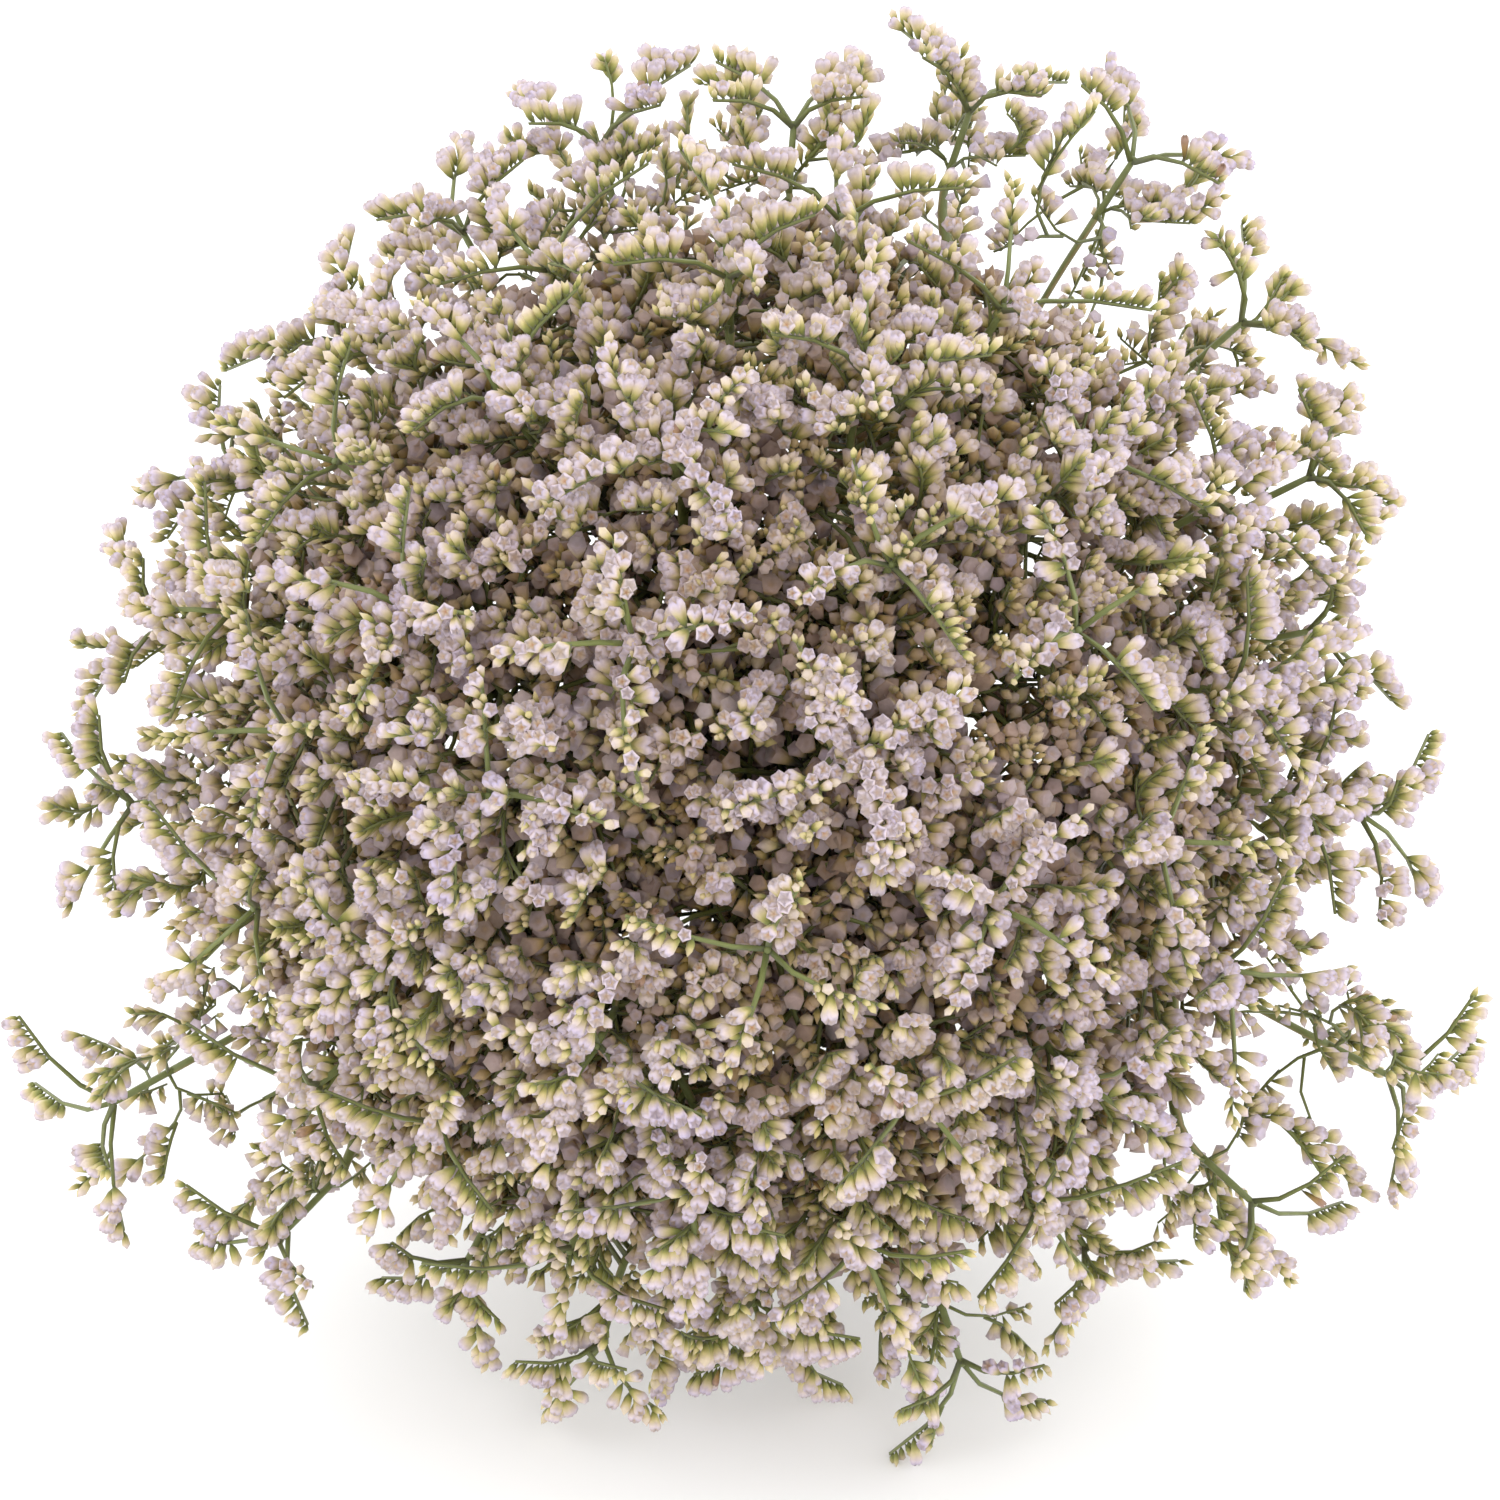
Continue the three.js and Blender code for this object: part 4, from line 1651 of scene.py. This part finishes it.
@dataclass
class InnerSprigs:
    """The twigs with a few florets that fill the head's depth, along some of the branches.

    Lengths are in mm. A draw is a pair, its lowest and highest value, or where it is a normal
    draw, its middle and its deviation. A spread is the deviation of a normal draw about zero.
    """

    head: Head
    lines: list[np.ndarray]
    # Where sprigs grow: their distance along a branch, the lowest height of their feet, the least
    # depth of their ends below the nearest spray's top, and the farthest from the head's axis
    spacing: float = 0.8
    lowest: float = -120.0
    depth: float = 32.0
    widest: float = 122.0
    # Their shape, and the vector that their first turn round the branch is worked out from
    side: tuple[float, float, float] = (0.5, 0.1, 0.8)
    length_draw: tuple[float, float] = (18.0, 40.0)
    place_draw: tuple[float, float] = (0.1, 0.9)
    leave_forward: float = 0.3
    arrive_forward: float = 0.7
    arrive_spread: float = 0.3
    radius: float = 0.85
    rings: int = 3
    # Their florets, and the painted shade that darkens each sprig deep in the head
    bearing_draw: tuple[float, float] = (6.0, 14.0)
    roll_spread: float = 0.8
    openness_normal_draw: tuple[float, float] = (0.55, 0.2)
    openness_limits: tuple[float, float] = (0.1, 0.9)
    tone_normal_draw: tuple[float, float] = (0.5, 0.15)
    tone_limits: tuple[float, float] = (0.05, 0.9)
    painted_shade_draw: tuple[float, float] = (0.5, 1.0)
    floret_spacing: float = 2.0
    floret_size: float = 1.35
    # How far below the head's own fan point the one lies that the florets fan out from
    fan_depth: float = 60.0

    def controls(self, random: np.random.Generator) -> np.ndarray:
        """Draw the sprigs' control points, and leave out those that would end outside.

        Args:
            random: The draws.

        Returns:
            Control points of shape (sprigs, 3, 3).
        """
        controls = np.concatenate([self.along_branch(line, random) for line in self.lines])
        ends = controls[:, 2]
        above = controls[:, 0, 2] > self.lowest
        near = np.linalg.norm(ends[:, :2], axis=1) < self.widest
        return controls[above & near & (self.depth_of(ends) > self.depth)]

    def along_branch(self, line: np.ndarray, random: np.random.Generator) -> np.ndarray:
        """Draw sprigs along a branch.

        They leave it a golden angle apart round it, nearly square to it, and bend forward.

        Args:
            line: The branch's line.
            random: The draws.

        Returns:
            Control points of shape (sprigs, 3, 3).
        """
        count = max(1, int(curve_length(line) / self.spacing))
        share = (np.arange(count) + random.uniform(*self.place_draw, count)) / count
        station = share * (len(line) - 1)
        knots = np.arange(len(line))
        place = np.stack([np.interp(station, knots, axis) for axis in line.T], axis=1)
        heading = np.broadcast_to(unit(line[-1] - line[0]), (count, 3))
        reference = square_to(np.array(self.side), heading)
        angles = GOLDEN_ANGLE * np.arange(count) + random.uniform(0, TURN_DRAW)
        outward = turned(reference, heading, angles)
        length = random.uniform(*self.length_draw, (count, 1))
        middle = place + 0.5 * length * unit(self.leave_forward * heading + outward)
        stray = random.normal(0, self.arrive_spread, (count, 3))
        arrive = unit(self.arrive_forward * heading + outward + stray)
        return np.stack([place, middle, middle + 0.5 * length * arrive], axis=1)

    def depth_of(self, points: np.ndarray) -> np.ndarray:
        """Measure how far points lie below the top of their nearest spray, along the fan.

        Args:
            points: Points of shape (points, 3).

        Returns:
            Their depths, mm.
        """
        from_centre = points - self.head.centre
        nearest = np.argmax(unit(from_centre) @ self.head.directions.T, axis=1)
        tops = self.head.roots[nearest] + self.head.spray_depth * self.head.directions[nearest]
        reach = np.linalg.norm(tops - self.head.centre, axis=1)
        return reach - np.linalg.norm(from_centre, axis=1)

    def build(
        self,
        name: str,
        laying: Laying,
        materials: list[bpy.types.Material],
        random: np.random.Generator,
    ) -> bpy.types.Object:
        """Build the sprigs as one piece.

        Args:
            name: The piece's name.
            laying: How the plant is laid down.
            materials: The paper of the florets and the green of the twigs.
            random: The draws.

        Returns:
            The piece.
        """
        controls = self.controls(random)
        bag = MeshBag()
        count = len(controls)
        bearing = random.uniform(*self.bearing_draw, count)
        rolls = random.normal(0.0, self.roll_spread, count)
        opened = random.normal(*self.openness_normal_draw, count)
        tones = random.normal(*self.tone_normal_draw, count)
        crests = Crests(
            controls=controls,
            bearing=bearing,
            radii=np.full(count, self.radius),
            rolls=rolls,
            openness=np.clip(opened, *self.openness_limits),
            tones=np.clip(tones, *self.tone_limits),
            # Painted shade: the sprigs deep in the head are darkened strongly
            ages=random.uniform(*self.painted_shade_draw, count),
            fan=self.head.centre - self.fan_depth * UP,
            forms=DEEP_FORMS,
            spacing=self.floret_spacing,
            size=self.floret_size,
            rings=self.rings,
        )
        crests.add_twigs(bag)
        florets = crests.add_florets(bag, random)
        item = bag.build(name, laying, materials)
        faces = len(item.data.polygons)
        log.info("%s: %d sprigs, %d florets, %d faces", name, count, florets, faces)
        return item


# Finishes


Colour = tuple[int, int, int]
Stops = tuple[tuple[float, Colour], ...]


def linear(red: int, green: int, blue: int) -> tuple[float, float, float, float]:
    """Turn a display colour of 0 to 255 into the linear colour that a shader takes.

    Args:
        red: The red channel.
        green: The green channel.
        blue: The blue channel.

    Returns:
        The linear channels by the sRGB curve, and full opacity.
    """
    values = [channel / 255 for channel in (red, green, blue)]
    bent = [v / 12.92 if v <= 0.04045 else ((v + 0.055) / 1.055) ** 2.4 for v in values]
    return (*bent, 1.0)


def mottle_group() -> bpy.types.NodeTree:
    """Make the group that lightens and darkens a colour in soft spots.

    The colour is scaled by one plus the amount times the noise's distance from its middle.

    Returns:
        The group, with a colour and a height coming out of it.
    """
    group = bpy.data.node_groups.new("soft_mottle", "ShaderNodeTree")
    sockets = (
        ("Color", "INPUT", "NodeSocketColor"),
        ("Scale", "INPUT", "NodeSocketFloat"),
        ("Amount", "INPUT", "NodeSocketFloat"),
        ("Color", "OUTPUT", "NodeSocketColor"),
        ("Height", "OUTPUT", "NodeSocketFloat"),
    )
    for name, way, kind in sockets:
        group.interface.new_socket(name, in_out=way, socket_type=kind)
    nodes, links = group.nodes, group.links
    entry, out = nodes.new("NodeGroupInput"), nodes.new("NodeGroupOutput")
    places = nodes.new("ShaderNodeTexCoord")
    noise = nodes.new("ShaderNodeTexNoise")
    noise.inputs["Detail"].default_value = 3.0
    centred = nodes.new("ShaderNodeMath")
    centred.operation = "SUBTRACT"
    centred.inputs[1].default_value = 0.5
    weighed = nodes.new("ShaderNodeMath")
    weighed.operation = "MULTIPLY_ADD"
    weighed.inputs[2].default_value = 1.0
    shaded = nodes.new("ShaderNodeVectorMath")
    shaded.operation = "SCALE"
    joins = (
        (places.outputs["Object"], noise.inputs["Vector"]),
        (entry.outputs["Scale"], noise.inputs["Scale"]),
        (noise.outputs["Fac"], centred.inputs[0]),
        (centred.outputs[0], weighed.inputs[0]),
        (entry.outputs["Amount"], weighed.inputs[1]),
        (entry.outputs["Color"], shaded.inputs[0]),
        (weighed.outputs[0], shaded.inputs["Scale"]),
        (shaded.outputs[0], out.inputs["Color"]),
        (noise.outputs["Fac"], out.inputs["Height"]),
    )
    for source, target in joins:
        links.new(source, target)
    return group


@dataclass(frozen=True)
class Finish:
    """A finish of the plant: colours along each form, a tint for its tone, a painted shade tint,
    and soft mottling.

    Attributes:
        name: The material's name.
        stops: The display colours along a form.
        tints: The display colours that multiply them, by the form's tone.
        painted_shade_tint: The display colour that multiplies a form in full painted shade.
        top_value: The greatest place along a form.
        roughness: The shader's roughness.
        sheen: The weight of its sheen.
        specular: Its specular level.
        mottle_scale: How many spots of the mottling there are to a metre.
        mottle_amount: How strongly the spots differ.
        bump: The strength of the bump.
        bump_depth: Its depth, metres.
    """

    name: str
    stops: Stops
    tints: Stops
    painted_shade_tint: Colour
    top_value: float
    roughness: float
    sheen: float
    mottle_scale: float
    mottle_amount: float
    bump: float
    bump_depth: float
    specular: float = 0.3

    @staticmethod
    def attribute(nodes: bpy.types.Nodes, name: str) -> bpy.types.NodeSocket:
        """Add the node that reads an attribute of the mesh.

        Args:
            nodes: The material's nodes.
            name: The attribute's name.

        Returns:
            The socket that its value comes out of.
        """
        node = nodes.new("ShaderNodeAttribute")
        node.attribute_name = name
        return node.outputs["Fac"]

    @staticmethod
    def ramp(nodes: bpy.types.Nodes, stops: Stops) -> bpy.types.ShaderNodeValToRGB:
        """Add a colour ramp.

        Args:
            nodes: The material's nodes.
            stops: The ramp's places and display colours.

        Returns:
            The ramp's node.
        """
        node = nodes.new("ShaderNodeValToRGB")
        elements = node.color_ramp.elements
        while len(elements) < len(stops):
            elements.new(0.5)
        for element, (position, colour) in zip(elements, stops):
            element.position = position
            element.color = linear(*colour)
        return node

    @staticmethod
    def multiply(nodes: bpy.types.Nodes) -> bpy.types.ShaderNodeMix:
        """Add a node that multiplies colour A by colour B.

        Args:
            nodes: The material's nodes.

        Returns:
            The node.
        """
        node = nodes.new("ShaderNodeMix")
        node.data_type, node.blend_type = "RGBA", "MULTIPLY"
        return node

    def material(self, mottle: bpy.types.NodeTree) -> bpy.types.Material:
        """Make the material.

        The colour comes from the place along the form, is multiplied by the tone's tint and, as
        far as the form takes painted shade, by the painted shade tint, and is then mottled. The
        mottling's height also feeds a fine bump.

        Args:
            mottle: The soft mottling group.

        Returns:
            The material.
        """
        material = bpy.data.materials.new(self.name)
        material.use_nodes = True
        nodes, links = material.node_tree.nodes, material.node_tree.links
        shader = nodes["Principled BSDF"]
        shader.inputs["Roughness"].default_value = self.roughness
        shader.inputs["Sheen Weight"].default_value = self.sheen
        shader.inputs["Specular IOR Level"].default_value = self.specular
        share = nodes.new("ShaderNodeMath")
        share.operation = "DIVIDE"
        share.inputs[1].default_value = self.top_value
        colours, tints = self.ramp(nodes, self.stops), self.ramp(nodes, self.tints)
        tinted, painted_shade_tint = self.multiply(nodes), self.multiply(nodes)
        tinted.inputs["Factor"].default_value = 1.0
        # Painted shade: this node darkens the colour by the painted shade tint, as far as the
        # attribute says
        painted_shade_tint.inputs["B"].default_value = linear(*self.painted_shade_tint)
        spots = nodes.new("ShaderNodeGroup")
        spots.node_tree = mottle
        spots.inputs["Scale"].default_value = self.mottle_scale
        spots.inputs["Amount"].default_value = self.mottle_amount
        bump = nodes.new("ShaderNodeBump")
        bump.inputs["Strength"].default_value = self.bump
        bump.inputs["Distance"].default_value = self.bump_depth
        joins = (
            (self.attribute(nodes, "along"), share.inputs[0]),
            (share.outputs[0], colours.inputs["Fac"]),
            (self.attribute(nodes, "tone"), tints.inputs["Fac"]),
            (colours.outputs["Color"], tinted.inputs["A"]),
            (tints.outputs["Color"], tinted.inputs["B"]),
            (self.attribute(nodes, "age"), painted_shade_tint.inputs["Factor"]),
            (tinted.outputs["Result"], painted_shade_tint.inputs["A"]),
            (painted_shade_tint.outputs["Result"], spots.inputs["Color"]),
            (spots.outputs["Color"], shader.inputs["Base Color"]),
            (spots.outputs["Height"], bump.inputs["Height"]),
            (bump.outputs["Normal"], shader.inputs["Normal"]),
        )
        for source, target in joins:
            links.new(source, target)
        return material


PAPER = Finish(
    name="floret_paper",
    stops=(
        (0.0, (72, 83, 30)),
        (0.12, (104, 112, 40)),
        (0.22, (150, 147, 70)),
        (0.3, (191, 178, 114)),
        (0.38, (206, 190, 148)),
        (0.48, (205, 189, 184)),
        (0.62, (198, 185, 200)),
        # Painted shade: the darker colour that the points between two petals reach, in the creases
        (0.71, (181, 164, 162)),
        (0.84, (200, 171, 138)),
        (1.0, (180, 118, 68)),
    ),
    tints=(
        (0.0, (230, 225, 250)),
        (0.35, (245, 240, 250)),
        (0.65, (253, 248, 250)),
        (0.94, (255, 250, 236)),
        (0.97, (184, 152, 120)),
    ),
    # Painted shade: the dull brown that darkens florets deep in the head
    painted_shade_tint=(188, 165, 130),
    top_value=2.0,
    roughness=0.75,
    sheen=0.1,
    mottle_scale=900.0,
    mottle_amount=0.5,
    bump=0.3,
    bump_depth=0.0004,
)
GREEN = Finish(
    name="stem_green",
    stops=((0.0, (88, 97, 46)), (0.75, (100, 104, 54)), (1.0, (136, 114, 76))),
    tints=((0.0, (214, 220, 190)), (0.4, (255, 255, 255)), (1.0, (255, 255, 200))),
    # Painted shade: the darker tint that twigs deep in the head take
    painted_shade_tint=(190, 180, 150),
    top_value=1.0,
    roughness=0.6,
    sheen=0.05,
    mottle_scale=420.0,
    mottle_amount=0.7,
    bump=0.5,
    bump_depth=0.0006,
)


# The studio


@dataclass(frozen=True)
class Lamp:
    """A square soft light: its name, its place and side in metres, and its power in watts."""

    name: str
    place: tuple[float, float, float]
    side: float
    power: float


@dataclass(frozen=True)
class Studio:
    """A plain pale floor, soft light, and the camera that looks down on the flowers.

    Places and lengths are in metres, apart from the sensor's width in mm, and the elevation is
    how far the camera looks down. Colours are linear.
    """

    floor_side: float = 8.0
    floor_colour: tuple[float, ...] = (0.93, 0.93, 0.93, 1.0)
    floor_roughness: float = 0.9
    lamps: tuple[Lamp, ...] = (
        Lamp("front_softbox", (0.5, -1.25, 0.95), 0.9, 1.0),
        Lamp("right_softbox", (1.2, -0.1, 0.5), 1.0, 7.0),
        Lamp("left_softbox", (-1.2, -0.2, 0.5), 1.0, 6.5),
        Lamp("back_softbox", (0.1, 0.9, 1.3), 1.2, 8.0),
    )
    lamp_colour: tuple[float, float, float] = (0.93, 0.96, 1.0)
    air_colour: tuple[float, ...] = (1.0, 0.985, 0.965, 1.0)
    air_strength: float = 1.48
    gamma: float = 1.3
    aim: tuple[float, float, float] = (0.0, -0.064, 0.148)
    distance: float = 0.62
    frame_width: float = 0.352
    elevation: float = math.radians(30)
    sensor: float = 36.0
    nearest: float = 0.01

    def build(self) -> None:
        """Set up the floor, the lights and the camera."""
        self.floor()
        for lamp in self.lamps:
            self.hang(lamp)
        world = bpy.data.worlds.new("studio_air")
        world.use_nodes = True
        air = world.node_tree.nodes["Background"]
        air.inputs["Color"].default_value = self.air_colour
        air.inputs["Strength"].default_value = self.air_strength
        scene = bpy.context.scene
        scene.world = world
        scene.view_settings.view_transform = "Standard"
        scene.view_settings.gamma = self.gamma
        self.camera()

    def floor(self) -> None:
        """Lay the floor at height zero."""
        half = self.floor_side / 2
        mesh = bpy.data.meshes.new("studio_floor")
        corners = [(-half, -half, 0), (half, -half, 0), (half, half, 0), (-half, half, 0)]
        mesh.from_pydata(corners, [], [(0, 1, 2, 3)])
        material = bpy.data.materials.new("pale_floor")
        material.use_nodes = True
        shader = material.node_tree.nodes["Principled BSDF"]
        shader.inputs["Base Color"].default_value = self.floor_colour
        shader.inputs["Roughness"].default_value = self.floor_roughness
        mesh.materials.append(material)
        floor = bpy.data.objects.new("studio_floor", mesh)
        bpy.context.scene.collection.objects.link(floor)

    def hang(self, lamp: Lamp) -> None:
        """Hang a soft light that faces the flowers.

        Args:
            lamp: The light.
        """
        data = bpy.data.lights.new(lamp.name, "AREA")
        data.size = lamp.side
        data.energy = lamp.power
        data.color = self.lamp_colour
        item = bpy.data.objects.new(lamp.name, data)
        item.location = lamp.place
        way = Vector(self.aim) - Vector(lamp.place)
        item.rotation_euler = way.to_track_quat("-Z", "Y").to_euler()
        bpy.context.scene.collection.objects.link(item)

    def camera(self) -> None:
        """Put the camera on the head's axis, as far away as the photograph's perspective says."""
        data = bpy.data.cameras.new("photo_camera")
        data.sensor_width = self.sensor
        data.lens = self.sensor * self.distance / self.frame_width
        data.clip_start = self.nearest
        camera = bpy.data.objects.new("photo_camera", data)
        away = Vector((0.0, -math.cos(self.elevation), math.sin(self.elevation)))
        camera.location = Vector(self.aim) + away * self.distance
        camera.rotation_euler = (-away).to_track_quat("-Z", "Y").to_euler()
        bpy.context.scene.collection.objects.link(camera)
        bpy.context.scene.camera = camera


# The whole part


def mount(item: bpy.types.Object, node: str) -> None:
    """Say which body a piece rides on, and hide the CAD node that it stands for.

    Args:
        item: The piece.
        node: The CAD node.
    """
    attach(item, BODY)
    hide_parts(node)


def count_triangles() -> int:
    """Return how many triangles there are in all meshes that are seen."""
    items = [item for item in bpy.data.objects if item.type == "MESH" and not item.hide_render]
    return sum(len(item.data.loop_triangles) for item in items)


def main() -> None:
    """Build the stem, the sprays and the studio, and note the sizes."""
    logging.basicConfig(level=logging.INFO, format="%(name)s: %(message)s")
    random = np.random.default_rng(SEED)
    mottle = mottle_group()
    paper, green = PAPER.material(mottle), GREEN.material(mottle)
    laying = Laying()
    head = Head()
    stem, lines = StemPiece(Stem(head, laying)).build(green)
    mount(stem, "stem")
    log.info("%s: %d branches, %d faces", stem.name, len(lines), len(stem.data.polygons))
    for index in range(len(head.roots)):
        spray = SprayPiece(head, index).build(laying, [paper, green], random)
        mount(spray, f"spray_{index + 1:02d}")
    for number in range(SPRIG_PIECES):
        inner = InnerSprigs(head, lines[number::SPRIG_PIECES])
        sprigs = inner.build(f"inner_sprigs_{number + 1}", laying, [paper, green], random)
        mount(sprigs, "stem")
    Studio().build()
    log.info("triangles in all: %d", count_triangles())


if __name__ == "__main__":
    main()
